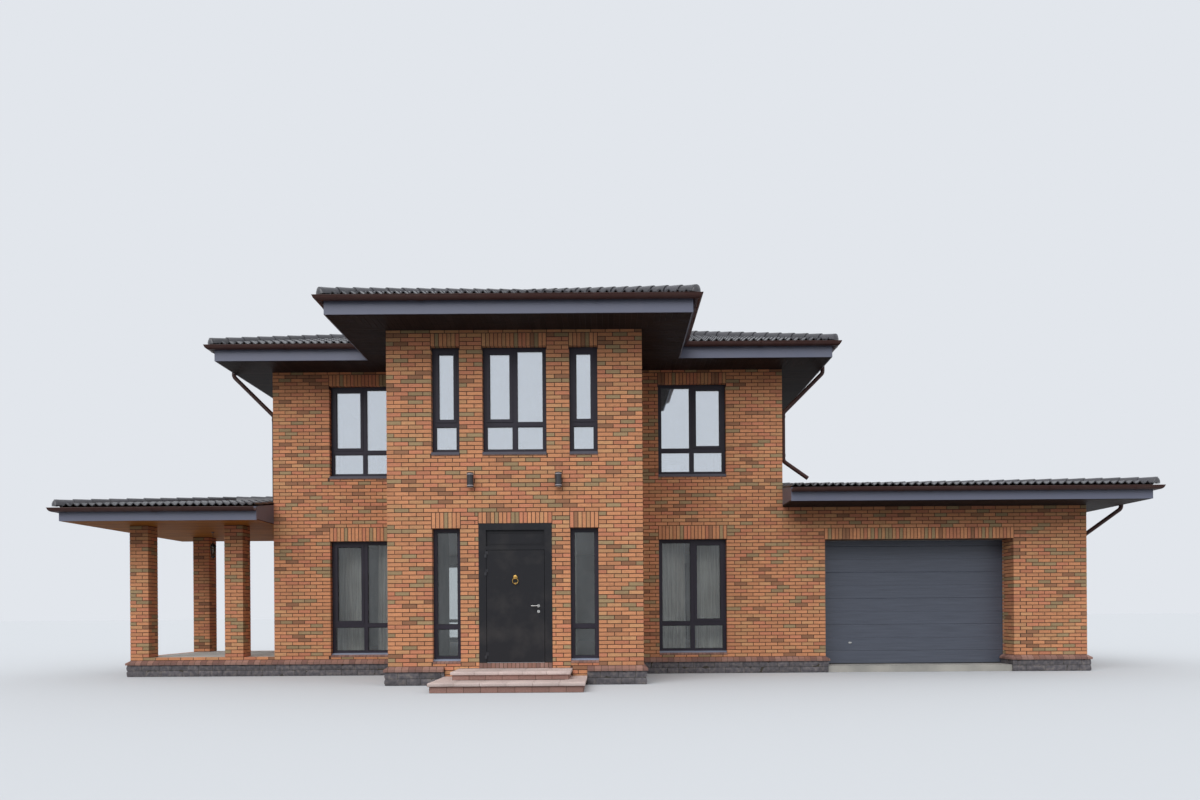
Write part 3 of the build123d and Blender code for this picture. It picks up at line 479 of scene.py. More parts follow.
class BrickPile:
    """Bricks that become one piece: where each one is, how large it is and its tone."""

    def __init__(self, seed):
        self.random = random.Random(seed)
        self.frames, self.sizes, self.tones = [], [], []

    def put(self, face, u0, u1, v0, v1, w0, w1):
        """Add a brick between two corners on a face."""
        self.frames.append(face.frame((u0 + u1) / 2, (v0 + v1) / 2, (w0 + w1) / 2))
        self.sizes.append((u1 - u0, v1 - v0, w1 - w0))
        self.tones.append(self.random.random())

    def lay(self, wall, levels, corners="", holes=(), ends=None):
        """Lay the courses of a wall, or of what lies between two of its marks. The bricks at an end
        named in corners, L or R, turn the corner, so they are left to turn()."""
        b = bricks()
        first, last = ends or (0, wall.marks[-1])
        for number, low, high in courses(*levels):
            start = (wall.phase + number) % 2
            cuts = [first] + [i for i in range(first + 1, last) if (i - start) % 2 == 0] + [last]
            units = list(zip(cuts, cuts[1:]))
            for i, j in units["L" in corners:len(units) - ("R" in corners)]:
                brick = (wall.places[i], wall.places[j] - b.joint, low, high)
                for u0, u1, v0, v1 in around(holes, brick):
                    self.put(wall.face, u0, u1, v0, v1, b.relief - b.width, b.relief)

    def turn(self, wall, turned, levels, mark=None, turned_mark=0):
        """Lay the bricks at a corner, each one's long side on the two walls in turn."""
        b = bricks()
        mark = wall.marks[-1] if mark is None else mark
        for number, low, high in courses(*levels):
            back = 2 if (mark - wall.phase - number) % 2 == 0 else 1
            length = wall.places[mark] - wall.places[mark - back] - b.joint
            on = turned_mark + 3 - back
            depth = turned.places[on] - turned.places[turned_mark] - b.joint
            corner = wall.places[mark] - b.joint
            self.put(wall.face, corner - length, corner + b.relief, low, high, -depth, b.relief)

    def piece(self, name, finish, slot="facing_brick"):
        """Make the bricks one piece."""
        mesh = joined(name, brick_unit(), self.frames, self.sizes, self.tones)
        make_piece(name, mesh, finish)


class Wall:
    """Stretcher bond on a face between some stops, set out in half bricks from the first stop."""

    def __init__(self, face, stops, phase=0):
        b = bricks()
        self.face = face
        self.phase = phase % 2
        self.places = [stops[0]]
        self.marks = [0]
        for stop in stops[1:]:
            start = self.places[-1]
            run = stop + b.joint - start
            count = round(run / ((b.length + b.joint) / 2))
            self.places += [start + run * i / count for i in range(1, count + 1)]
            self.marks.append(len(self.places) - 1)

    def after(self, face, stops, mark=None):
        """The wall round the corner to the right of one of this wall's marks, or of its end, in
        bond with it."""
        mark = self.marks[-1] if mark is None else mark
        return Wall(face, stops, self.phase + mark + 1)

    def before(self, face, stops, mark):
        """The wall round the corner to the left of one of this wall's marks, in bond with it."""
        wall = Wall(face, stops)
        wall.phase = (self.phase + wall.marks[-1] - mark + 1) % 2
        return wall


def courses(foot, bottom, top):
    """Number, bottom and top of each course of bricks between two levels."""
    b = bricks()
    pitch = b.height + b.joint
    number = math.floor((bottom - foot) / pitch + 1e-6)
    while foot + number * pitch + b.joint < top:
        low = foot + number * pitch + b.joint
        low, high = max(low, bottom), min(foot + (number + 1) * pitch, top)
        if high - low > LOWEST:
            yield number, low, high
        number += 1


def around(holes, brick):
    """What is left of a brick beside, under and over the holes in its wall."""
    u0, u1, v0, v1 = brick
    # A brick that ends just short of a hole's side runs on to it, so that no deep gap is left there
    for h0, h1, g0, g1 in holes:
        if g0 < (v0 + v1) / 2 < g1:
            u1 = h0 if 0 < h0 - u1 < SHORTEST else u1
            u0 = h1 if 0 < u0 - h1 < SHORTEST else u0
    left = [(u0, u1, v0, v1)]
    for h0, h1, g0, g1 in holes:
        found = []
        for u0, u1, v0, v1 in left:
            if u1 <= h0 or u0 >= h1 or v1 <= g0 or v0 >= g1:
                found.append((u0, u1, v0, v1))
                continue
            low, high = max(u0, h0), min(u1, h1)
            found += [(u0, h0, v0, v1), (h1, u1, v0, v1), (low, high, v0, g0), (low, high, g1, v1)]
        left = [r for r in found if r[1] - r[0] > SHORTEST - 0.012 and r[3] - r[2] > LOWEST]
    return left


def openings_on(face):
    """The windows, and then the sills, whose frames are set into a face, across and up."""
    found = []
    for nodes in (("front_window_frames", "side_window_frames", "rear_window_frames"),
                  ("window_sills",)):
        boxes = []
        for low, high in (box for node in nodes for box in solids_of(node)):
            left, right = sorted((face.across(low), face.across(high)))
            if -FRAME_LIMIT < face.depth((low + high) / 2) < 0 and right - left > FRAME_LIMIT:
                boxes.append((left, right, low.z, high.z))
        found.append(boxes)
    return found


def course_line(foot, level, rounding):
    """The line on top of a course nearest to a level, under it or over it."""
    b = bricks()
    pitch = b.height + b.joint
    return foot + rounding((level - foot) / pitch) * pitch


def soldier_row(pile, face, opening, top):
    """Lay a row of upright bricks over an opening up to a course line, and give the hole that
    they fill."""
    b = bricks()
    left, right, head = opening
    run = right - left + b.joint
    pitch = run / round(run / (b.height + b.joint))
    place = left
    while place < right - b.joint:
        end = place + pitch - b.joint
        pile.put(face, place, end, head - TUCK, top, b.relief - b.width, b.relief)
        place += pitch
    return left - b.joint, right + b.joint, head - TUCK / 2, top + TUCK / 2


def window_holes(pile, wall, foot, top):
    """Lay the soldiers over each window of a wall, and list the holes that its bricks leave."""
    b = bricks()
    holes = []
    for number, boxes in enumerate(openings_on(wall.face)):
        for u0, u1, v0, v1 in boxes:
            if wall.places[0] < u0 and u1 < wall.places[-1]:
                holes.append((u0 + TUCK, u1 - TUCK, v0, v1))
                if number == 0:
                    end = min(course_line(foot, v1 + b.soldier, round), top)
                    holes.append(soldier_row(pile, wall.face, (u0, u1, v1), end))
    return holes


class HOUSE_OT_brickwork(bpy.types.Operator):
    """Facing bricks of the walls, in stretcher bond with soldier courses over the openings"""

    bl_idname = "house.brickwork"
    bl_label = "Brickwork"

    def execute(self, context):
        n = house_lines()
        b = bricks()
        finish = brick_finish()
        top, low_top = n.main_eaves - EAVES_GAP, n.garage_eaves - EAVES_GAP
        main, garage = (n.foot, n.foot, top), (n.foot, n.foot, low_top)

        # The bay
        pile = BrickPile(1)
        left_side = Wall(Face(-n.bay_half, 0, 270), [-n.front, -n.bay_front])
        front = left_side.after(Face(0, n.bay_front, 0), [-n.bay_half, n.bay_half])
        right_side = front.after(Face(n.bay_half, 0, 90), [n.bay_front, n.front])
        holes = window_holes(pile, front, n.foot, top)
        lower_head = min(box[3] for box in openings_on(front.face)[0])
        over_door = course_line(n.foot, lower_head + b.soldier, round)
        door_top = n.door_head + 0.004
        holes += [
            soldier_row(pile, front.face, (-n.door_half, n.door_half, door_top), over_door),
            (-n.door_half, n.door_half, 0, door_top),
            (-n.bay_half, -n.steps_half, 0, n.foot),
            (n.steps_half, n.bay_half, 0, n.foot),
            (-n.landing_half, n.landing_half, 0, n.landing + 0.003),
        ]
        pile.lay(front, (n.foot, n.low_step, top), "LR", holes)
        pile.lay(left_side, main, "R")
        pile.lay(right_side, main, "L")
        pile.turn(left_side, front, main)
        pile.turn(front, right_side, main)
        pile.piece("bay_bricks", finish)

        # The right wing and the garage, which share their front wall
        pile = BrickPile(2)
        stops = [n.bay_half, n.half, n.opening_left, n.opening_right, n.garage_right]
        front = Wall(Face(0, n.front, 0), stops, right_side.phase)
        wing, opening, pier, end = front.marks[1:]
        holes = window_holes(pile, front, n.foot, top)
        head = course_line(n.foot, n.opening_head + b.soldier, round)
        opening_box = (n.opening_left, n.opening_right, n.opening_head)
        holes.append(soldier_row(pile, front.face, opening_box, head))
        low = (n.foot, n.foot, n.opening_head)
        right = front.after(Face(n.garage_right, 0, 90), [n.front, n.garage_rear])
        back = right.after(Face(0, n.garage_rear, 180), [-n.garage_right, -n.half])
        jamb = front.after(Face(n.opening_left, 0, 90), [n.front, n.front + n.wall], opening)
        far_jamb = front.before(Face(n.opening_right, 0, 270), [-n.front - n.wall, -n.front], pier)
        main_right = front.after(Face(n.half, 0, 90), [n.front, n.rear], wing)
        pile.lay(front, low, "R", holes, (0, opening))
        pile.lay(front, low, "LR", holes, (pier, end))
        over = course_line(n.foot, n.opening_head, math.ceil)
        pile.lay(front, (n.foot, over, low_top), "R", holes)
        pile.lay(jamb, low, "L")
        pile.lay(far_jamb, low, "R")
        pile.turn(front, jamb, low, opening)
        pile.turn(far_jamb, front, low, turned_mark=pier)
        pile.turn(front, right, garage)
        upper = (n.foot, course_line(n.foot, n.garage_eaves, math.floor), top)
        pile.lay(front, upper, "R", holes, (0, wing))
        pile.turn(front, main_right, upper, wing)
        pile.piece("right_front_bricks", finish)

        pile = BrickPile(3)
        pile.lay(right, garage, "LR")
        pile.turn(right, back, garage)
        pile.lay(back, garage, "L")
        holes = window_holes(pile, main_right, n.foot, top)
        holes.append((n.front - 1, n.garage_rear, 0, n.garage_eaves))
        rear = main_right.after(Face(0, n.rear, 180), [-n.half, n.half])
        pile.lay(main_right, main, "LR", holes)
        pile.turn(main_right, rear, main)
        pile.piece("right_side_bricks", finish)

        pile = BrickPile(4)
        left = rear.after(Face(-n.half, 0, 270), [-n.rear, -n.front])
        pile.lay(rear, main, "LR", window_holes(pile, rear, n.foot, top))
        pile.turn(rear, left, main)
        pile.piece("rear_bricks", finish)

        pile = BrickPile(5)
        wing_front = left.after(Face(0, n.front, 0), [-n.half, -n.bay_half])
        pile.lay(left, main, "LR", window_holes(pile, left, n.foot, top))
        pile.turn(left, wing_front, main)
        pile.lay(wing_front, main, "L", window_holes(pile, wing_front, n.foot, top))
        pile.piece("left_bricks", finish)

        # The porch: the rim of its base and its pillars, whose courses are all corner bricks
        pile = BrickPile(6)
        rim = (n.foot, n.foot, n.porch_floor + TUCK)
        rear = Wall(Face(0, n.porch_rear, 180), [n.half, -n.porch_left])
        left = rear.after(Face(n.porch_left, 0, 270), [-n.porch_rear, -n.front])
        front = left.after(Face(0, n.front, 0), [n.porch_left, -n.half])
        for wall, corners in ((rear, "R"), (left, "LR"), (front, "L")):
            pile.lay(wall, rim, corners)
        pile.turn(rear, left, rim)
        pile.turn(left, front, rim)
        for low, high in solids_of("porch_pillars"):
            faces = [
                Wall(Face(0, low.y, 0), [low.x, high.x]),
                Wall(Face(high.x, 0, 90), [low.y, high.y]),
                Wall(Face(0, high.y, 180), [-high.x, -low.x]),
                Wall(Face(low.x, 0, 270), [-high.y, -low.y]),
            ]
            for wall, turned in zip(faces, faces[1:] + faces[:1]):
                pile.turn(wall, turned, (n.porch_floor, n.porch_floor, n.porch_eaves))
        pile.piece("porch_bricks", finish)
        return {"FINISHED"}


# Roofs

# Where the points of one wave lie, closest together over the roll
WAVE_STEPS = (0, 0.24, 0.38, 0.5, 0.62, 0.76)

# Steps of the tones, so that neighbours differ
GOLDEN = 0.618


def tile_unit():
    """One tile with two rolls, its lower end lifted to lie on the tile below it."""
    r = roof()
    steps = len(WAVE_STEPS)
    bm = grid(2 * steps, 1)
    for v in bm.verts:
        number, step = divmod(round((v.co.x + 0.5) * 2 * steps), steps)
        phase = number + WAVE_STEPS[step]
        roll = ((1 - math.cos(math.tau * phase)) / 2) ** 1.3 * r.roll
        lift = (r.thickness + 0.004) * (0.5 - v.co.y)
        up = roll + lift + r.thickness
        v.co = ((phase - 1) * r.wave, (v.co.y + 0.5) * (r.gauge + r.lap), up)
    return thickened(bm, r.thickness)


def cap_unit():
    """One half round ridge cap, a little wider at the end that laps over the next one down."""
    r = roof()
    bm = grid(10, 1)
    for v in bm.verts:
        angle = math.pi * (0.5 - v.co.x)
        scale = 1.0 - 0.20 * (v.co.y + 0.5)
        across = math.cos(angle) * r.cap_width / 2 * scale
        up = (math.sin(angle) * (r.cap_rise + r.cap_sink) - r.cap_sink) * scale
        v.co = (across, (v.co.y + 0.5) * (r.cap_gauge + r.lap), up)
    return thickened(bm, r.thickness)


def starter_unit():
    """The closed round end under the lowest cap of a hip."""
    r = roof()
    bm = bmesh.new()
    bmesh.ops.create_uvsphere(bm, u_segments=16, v_segments=8, radius=1)
    size = (1.01 * r.cap_width / 2, 0.09, 1.01 * (r.cap_rise + r.cap_sink))
    bmesh.ops.scale(bm, vec=size, verts=bm.verts)
    cut(bm, (0, 0, 0), (0, 0, 1))
    bmesh.ops.translate(bm, vec=(0, 0.035, -r.cap_sink), verts=bm.verts)
    bm.verts.index_update()
    return bm


def axes(x, y, place=(0, 0, 0)):
    """The frame at a place whose first two axes are given."""
    turn = Matrix((x, y, x.cross(y))).transposed().to_4x4()
    turn.translation = place
    return turn


def touches(place, outline, width, length):
    """Whether a tile may lie over some of an outline, seen in plan."""
    corners = [place @ Vector((x, y, 0)) for x in (-width / 2, width / 2) for y in (0, length)]
    for p, q in zip(outline, outline[1:] + outline[:1]):
        inside = Vector((p.y - q.y, q.x - p.x, 0))
        if all((c - p).dot(inside) <= 1e-6 for c in corners):
            return False
    return True


def tiled(name, slopes, level, rise, valleys=()):
    """One mesh of the tiles on some slopes. A slope is its outline in plan, anticlockwise with its
    eave first, and the direction in which it rises."""
    r = roof()
    climb = math.hypot(1, rise)
    parts = []
    for outline, inward in slopes:
        points = [Vector((x, y, 0)) for x, y in outline]
        along, up = Vector((inward[1], -inward[0], 0)), Vector((*inward, rise)).normalized()
        base = axes(along, up, points[0] + UP * level)
        sides = [(p - points[0]).dot(along) for p in points]
        run = max((p - points[0]).dot(Vector((*inward, 0))) for p in points) * climb
        columns = range(math.floor(min(sides) / (2 * r.wave)), math.ceil(max(sides) / (2 * r.wave)))
        frames, tones = [], []
        for row in range(math.ceil(run / r.gauge)):
            for column in columns:
                place = Vector(((2 * column + 1) * r.wave, row * r.gauge, 0))
                tile = base @ Matrix.Translation(place)
                if touches(tile, points, 2 * r.wave, r.gauge + r.lap):
                    frames.append(tile)
                    tones.append((GOLDEN * (7 * row + 13 * column)) % 1)
        part = loosened(joined(name, tile_unit(), frames, tones=tones))
        for p, q in zip(points[1:], points[2:] + points[:1]):
            inside = Vector((p.y - q.y, q.x - p.x, 0)).normalized()
            gap = r.valley / 2 if {tuple(p.xy), tuple(q.xy)} in valleys else 0
            cut(part, p + inside * gap, inside)
        parts.append(part)
    return gathered(name, parts)


def cap_frames(line, level, rise):
    """Frames of the caps along a line that starts at its lower end, given as x, y and run."""
    r = roof()
    start, end = [Vector((x, y, level + run * rise)) for x, y, run in line]
    way = end - start
    up = way.normalized()
    across = Vector((way.y, -way.x, 0)).normalized()
    count = math.ceil(way.length / r.cap_gauge - 0.5)
    return [axes(across, up, start + up * (i * r.cap_gauge)) for i in range(count)]


def roof_plans():
    """Each roof's tile node, level at the lip, rise, slopes, and lines of its hips and ridges."""
    n = house_lines()
    thick = roof().bed
    low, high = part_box("main_roof_tiles")
    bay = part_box("bay_roof_tiles")
    e, f, b, g = high.x, high.y, bay[1].x, -bay[0].y
    u = e - f
    rise = (high.z - low.z - thick) / f
    slopes = [
        ([(-e, -f), (-b, -f), (0, b - f), (0, 0), (-u, 0)], (0, 1)),
        ([(b, -f), (e, -f), (u, 0), (0, 0), (0, b - f)], (0, 1)),
        ([(e, -f), (e, f), (u, 0)], (-1, 0)),
        ([(e, f), (-e, f), (-u, 0), (u, 0)], (0, -1)),
        ([(-e, f), (-e, -f), (-u, 0)], (1, 0)),
    ]
    lines = [((x * e, y * f, 0), (x * u, 0, f)) for x in (-1, 1) for y in (-1, 1)]
    lines.append(((-u, 0, f), (u, 0, f)))
    valleys = [{(-b, -f), (0, b - f)}, {(b, -f), (0, b - f)}]
    plans = [("main_roof_tiles", low.z, rise, slopes, lines, valleys)]
    slopes = [
        ([(-b, -g), (b, -g), (0, b - g)], (0, 1)),
        ([(b, -g), (b, -f), (0, b - f), (0, b - g)], (-1, 0)),
        ([(-b, -f), (-b, -g), (0, b - g), (0, b - f)], (1, 0)),
    ]
    top = (0, b - g, b)
    lines = [((-b, -g, 0), top), ((b, -g, 0), top), (top, (0, b - f, b))]
    plans.append(("bay_roof_tiles", low.z, rise, slopes, lines, valleys))
    for name, side in (("garage_roof_tiles", 1), ("porch_roof_tiles", -1)):
        low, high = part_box(name)
        inner, outer = side * n.half, high.x if side > 0 else low.x
        front, rear, middle = low.y, high.y, (low.y + high.y) / 2
        half = middle - front
        hip = outer - side * half
        rise = (high.z - low.z - thick) / half
        slopes = [
            ([(inner, front), (outer, front), (hip, middle), (inner, middle)], (0, 1)),
            ([(outer, rear), (inner, rear), (inner, middle), (hip, middle)], (0, -1)),
            ([(outer, front), (outer, rear), (hip, middle)], (-1, 0)),
        ]
        if side < 0:
            # The same slopes mirrored, each still anticlockwise from its eave
            slopes = [
                ([(outer, front), (inner, front), (inner, middle), (hip, middle)], (0, 1)),
                ([(inner, rear), (outer, rear), (hip, middle), (inner, middle)], (0, -1)),
                ([(outer, rear), (outer, front), (hip, middle)], (1, 0)),
            ]
        top = (hip, middle, half)
        lines = [((outer, front, 0), top), ((outer, rear, 0), top), (top, (inner, middle, half))]
        plans.append((name, low.z, rise, slopes, lines, []))
    return plans


class HOUSE_OT_tiles(bpy.types.Operator):
    """Roof tiles in courses, cut along the hips, the ridges and the valleys"""

    bl_idname = "house.tiles"
    bl_label = "Roof tiles"

    def execute(self, context):
        finish = tile_finish()
        for node, level, rise, slopes, _, valleys in roof_plans():
            name = node.replace("_roof", "")
            mesh = tiled(name, slopes, level, rise, valleys)
            make_piece(name, mesh, finish, replaces=[node], sharp=40)
        return {"FINISHED"}


class HOUSE_OT_ridges(bpy.types.Operator):
    """Ridge and hip caps with their round ends, and the metal valleys"""

    bl_idname = "house.ridges"
    bl_label = "Ridges and valleys"

    def execute(self, context):
        r = roof()
        plans = roof_plans()
        caps, ends = [], []
        for _, level, rise, _, lines, _ in plans:
            for line in lines:
                frames = cap_frames(line, level + r.bed, rise)
                caps += frames
                if line[0][2] == 0:
                    ends.append(frames[0])
        tones = [(GOLDEN * i) % 1 for i in range(len(caps))]
        mesh = joined("ridge_tiles", cap_unit(), caps, tones=tones)
        make_piece("ridge_tiles", mesh, tile_finish(), replaces=["ridge_caps"],
                   sharp=40)
        mesh = joined("hip_ends", starter_unit(), ends, tones=[0.5] * len(ends))
        make_piece("hip_ends", mesh, tile_finish(), sharp=40)

        _, level, rise, _, _, valleys = plans[0]
        fall, wing = rise * math.sqrt(0.5), r.valley
        outline = [(-wing, wing * fall), (0, 0), (wing, wing * fall), (0, 0.004)]
        strips = []
        for ends_of in valleys:
            start, end = sorted(ends_of, key=lambda p: -abs(p[0]))
            foot = Vector((*start, level))
            head = Vector((*end, level + abs(start[0]) * rise))
            way = (head - foot).normalized()
            across = Vector((way.y, -way.x, 0)).normalized()
            place = (foot + head) / 2 + Vector((0, 0, 0.012))
            strip = prism(outline, (head - foot).length)
            strips.append(moved(strip, axes(across, across.cross(way), place)))
        metal = coated("Valley flashing", "3A3432")
        make_piece("valley_flashing", strips, metal)
        return {"FINISHED"}


# Eaves

def outline_of_house(reach):
    """The main block and its bay in plan, moved outward, with outside to the left all round."""
    n = house_lines()
    e, f, b, g = n.half + reach, n.rear + reach, n.bay_half + reach, -n.bay_front + reach
    return [(e, f), (e, -f), (b, -f), (b, -g), (-b, -g), (-b, -f), (-e, -f), (-e, f), (e, f)]


def outline_of_garage(reach):
    """The garage in plan, moved outward, from its rear to its front."""
    n = house_lines()
    x, low, high = n.garage_right + reach, n.front - reach, n.garage_rear + reach
    return [(n.half, high), (x, high), (x, low), (n.half, low)]


def outline_of_porch(reach):
    """The porch in plan, moved outward, from its front to its rear."""
    n = house_lines()
    x, low, high = n.porch_left - reach, n.front - reach, n.porch_rear + reach
    return [(-n.half, low), (x, low), (x, high), (-n.half, high)]


def repeated(unit, pitch, start, end, place, rng):
    """One mesh of copies of a bmesh side by side along a run, each with a tone of its own."""
    spots = range(math.floor(start / pitch), math.ceil(end / pitch))
    frames = [place((i + 0.5) * pitch) for i in spots]
    return joined("run", unit, frames, tones=[rng.random() for _ in frames])


class Boards:
    """Boards that stand across a run, as the filling of mitred()."""

    # Groove between two boards, their thickness, and how far they stay back from the fascia
    GROOVE, THICKNESS, BACK = 0.005, 0.008, 0.025

    def __init__(self, level, reach, seed):
        self.level, self.depth = level - 0.002, reach - self.BACK
        self.random = random.Random(seed)

    def __call__(self, face, start, end):
        pitch = roof().board
        unit = bmesh.new()
        bmesh.ops.create_cube(unit, size=1)
        size = (pitch - self.GROOVE, self.THICKNESS, self.depth)
        bmesh.ops.scale(unit, vec=size, verts=unit.verts)
        return repeated(unit, pitch, start, end,
                        lambda u: face.frame(u, self.level, self.depth / 2), self.random)


class HOUSE_OT_soffits(bpy.types.Operator):
    """Grooved boards under the eaves and over the porch"""

    bl_idname = "house.soffits"
    bl_label = "Soffit boards"

    def execute(self, context):
        n = house_lines()
        r = roof()
        finish = board_finish("Dark stained soffit board", r.soffit, r.soffit_grain, 0.55)
        runs = [
            ("main_soffit_boards", outline_of_house(0), n.main_eaves, n.main_reach, 11),
            ("garage_soffit_boards", outline_of_garage(0), n.garage_eaves, n.garage_reach, 12),
        ]
        for name, path, level, reach, seed in runs:
            mesh = mitred(name, path, Boards(level, reach, seed), reach)
            make_piece(name, mesh, finish)

        pile = BrickPile(13)
        face = Face(0, 0, 0)
        low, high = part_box("porch_ceiling")
        count = round((high.y - low.y) / r.board)
        pitch = (high.y - low.y) / count
        groove, thin = 0.002, 0.006
        for i in range(count):
            start = -low.y - (i + 1) * pitch
            pile.put(face, low.x, high.x, low.z - thin, low.z + 0.002,
                     start + groove, start + pitch - groove)
        finish = board_finish("Varnished honey coloured board", r.ceiling, r.ceiling_grain, 0.6)
        pile.piece("porch_ceiling_boards", finish, "ceiling_board")
        return {"FINISHED"}


class GutterRim:
    """The rolled front rim of a gutter, as the filling of mitred()."""

    def __init__(self, level):
        self.level = level

    def __call__(self, face, start, end):
        r = roof()
        unit = bmesh.new()
        rod(unit, RIM, end - start, Matrix(), 8)
        turn = Matrix.Rotation(math.pi / 2, 3, "Y")
        bmesh.ops.rotate(unit, cent=(0, 0, 0), matrix=turn, verts=unit.verts)
        unit.verts.index_update()
        return joined("rim", unit, [face.frame((start + end) / 2, self.level, r.gutter_radius)])


def band_unit(width, thickness=0.003):
    """A half round band that hugs the outside of a gutter."""
    radius = roof().gutter_radius + thickness
    bm = grid(12, 1)
    for v in bm.verts:
        angle = math.pi * (v.co.x + 0.5) + math.pi
        v.co = (v.co.y * width, math.sin(angle) * radius, math.cos(angle) * radius)
    return thickened(bm, thickness)


class GutterBands:
    """Bands along a gutter: narrow ones at its brackets or wide ones at its joints."""

    def __init__(self, level, sizes, pitch):
        self.level, self.pitch = level, pitch
        self.width, self.first = sizes

    def __call__(self, face, start, end):
        inner = end - max(-start, 0)
        count = max(1, math.floor((inner - 2 * self.first) / self.pitch) + 1)
        margin = (inner - (count - 1) * self.pitch) / 2
        frames = [face.frame(margin + i * self.pitch, self.level, 0) for i in range(count)]
        return joined("bands", band_unit(self.width), frames)


# Levels of the downpipes over the ground: where the left one is cut off above its bend, and the
# collars of the pipes upstairs and downstairs
BEND = 4.62
UPPER_COLLARS = (BEND, 5.45)
LOWER_COLLARS = (0.55, 1.6, 2.45)

# Radii of a downpipe, its collars and a gutter's rim, and how far a pipe's middle line and the
# brackets of its collars stand off the wall
PIPE, COLLAR, RIM, PIPE_OFF, BRACKET_OFF = 0.043, 0.049, 0.009, 0.075, 0.02

# Gutter brackets and joints: width, and how far at least the first one is from a run's end
BRACKETS, JOINTS = (0.022, 0.2), (0.11, 0.9)
JOINT_SPACING = 3.0


class HOUSE_OT_gutters(bpy.types.Operator):
    """Rolled rims, brackets and joints of the gutters, and the collars of the downpipes"""

    bl_idname = "house.gutters"
    bl_label = "Gutter fittings"

    def execute(self, context):
        n = house_lines()
        r = roof()
        finish = gutter_coat()
        porch, garage, main = sorted({round(high.z, 3) for _, high in solids_of("gutters")})
        middle = r.gutter_radius
        runs = [
            ("main", outline_of_house(n.main_reach + middle), main),
            ("garage", outline_of_garage(n.garage_reach + middle), garage),
            ("porch", outline_of_porch(n.porch_reach + middle), porch),
        ]
        for run, path, level in runs:
            fittings = [
                ("rim", GutterRim(level), 0.1),
                ("brackets", GutterBands(level, BRACKETS, r.bracket), 0),
                ("joints", GutterBands(level, JOINTS, JOINT_SPACING), 0),
            ]
            for fitting, fill, reach in fittings:
                name = f"{run}_gutter_{fitting}"
                make_piece(name, mitred(name, path, fill, reach), finish, sharp=40)

        # The left pipe goes straight down into the porch roof, where the right one has a bend
        parts = []
        for side in (-1, 1):
            half = merged("downpipes")
            other = [v for v in half.verts if v.co.x * side < 0]
            bmesh.ops.delete(half, geom=other, context="VERTS")
            parts.append(half)
        cut(parts[0], (0, 0, BEND), UP)
        centre = pipe_axis(min(solids_of("downpipes"), key=lambda box: box[0].x))
        foot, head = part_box("porch_roof_tiles")[0].z + 0.15, BEND + 0.01
        straight = bmesh.new()
        place = at(centre.x, centre.y, (head + foot) / 2)
        rod(straight, PIPE, head - foot, place, 24)
        parts.append(straight)
        make_piece("rain_pipes", parts, finish, replaces=["downpipes"], sharp=40)

        bm = bmesh.new()
        for box in solids_of("downpipes"):
            centre = pipe_axis(box)
            side = 1 if centre.x > 0 else -1
            for level in UPPER_COLLARS if centre.z > 4 else LOWER_COLLARS:
                rod(bm, COLLAR, 0.05, at(centre.x, centre.y, level), 20)
                stub = at(centre.x - side * (PIPE_OFF - BRACKET_OFF), centre.y, level)
                block(bm, (0.06, 0.018, 0.03), stub)
        make_piece("pipe_collars", [bm], finish, sharp=40)
        return {"FINISHED"}


def pipe_axis(box):
    """The middle line of a downpipe's run on the wall, with a height that tells which storey."""
    n = house_lines()
    low, high = box
    walls = (-n.half, n.half, n.garage_right)
    wall = min(walls, key=lambda x: min(abs(low.x - x), abs(high.x - x)))
    side = 1 if wall > 0 else -1
    return Vector((wall + side * PIPE_OFF, (low.y + high.y) / 2, (low.z + high.z) / 2))


# Shapes for the details

def turned(profile, place=Matrix(), segments=32, closed=False):
    """A profile of radius and height spun about the z axis, and then put in place."""
    bm = bmesh.new()
    verts = [bm.verts.new((radius, 0, height)) for radius, height in profile]
    ends = verts[1:] + verts[:1] if closed else verts[1:]
    edges = [bm.edges.new(pair) for pair in zip(verts, ends)]
    bmesh.ops.spin(bm, geom=verts + edges, cent=(0, 0, 0), axis=(0, 0, 1), angle=math.tau,
                   steps=segments, use_merge=True)
    bmesh.ops.remove_doubles(bm, verts=bm.verts, dist=1e-6)
    bmesh.ops.recalc_face_normals(bm, faces=bm.faces)
    return moved(bm, place)


def bar(p, q, thick):
    """A square bar between two points."""
    p, q = Vector(p), Vector(q)
    bm = bmesh.new()
    turn = (q - p).to_track_quat("Z", "X").to_matrix().to_4x4()
    block(bm, (thick, thick, (q - p).length), Matrix.Translation((p + q) / 2) @ turn)
    bmesh.ops.bevel(bm, geom=bm.edges[:], offset=thick * 0.15, segments=1, profile=0.5,
                    affect="EDGES", material=-1)
    return bm


def slab(bm, low, high, edge):
    """A slab between two corners, with rounded arrises."""
    place = Matrix.Translation((Vector(low) + Vector(high)) / 2)
    made = block(bm, Vector(high) - Vector(low), place)
    edges = list({e for v in made for e in v.link_edges})
    bmesh.ops.bevel(bm, geom=edges, offset=edge, segments=2, profile=0.5, affect="EDGES",
                    material=-1)
    return bm


def ring_unit(bar, thick):
    """A square ring of a given bar width, one metre wide outside."""
    bm = grid(1, 1)
    rim = bmesh.ops.inset_region(bm, faces=bm.faces[:], thickness=bar, use_boundary=True,
                                 use_even_offset=True)["faces"]
    bmesh.ops.delete(bm, geom=[f for f in bm.faces if f not in rim], context="FACES_ONLY")
    return thickened(bm, thick)


# Turns a section drawn outward and up so that it stands across a wall
ACROSS = Matrix(((0, 0, -1, 0), (0, 1, 0, 0), (1, 0, 0, 0), (0, 0, 0, 1)))

# Turn a part made along z so that it points to the front or to the back
TO_FRONT = Matrix.Rotation(math.pi / 2, 4, "X")
TO_BACK = Matrix.Rotation(math.pi, 4, "Z") @ TO_FRONT


# Foot of the walls

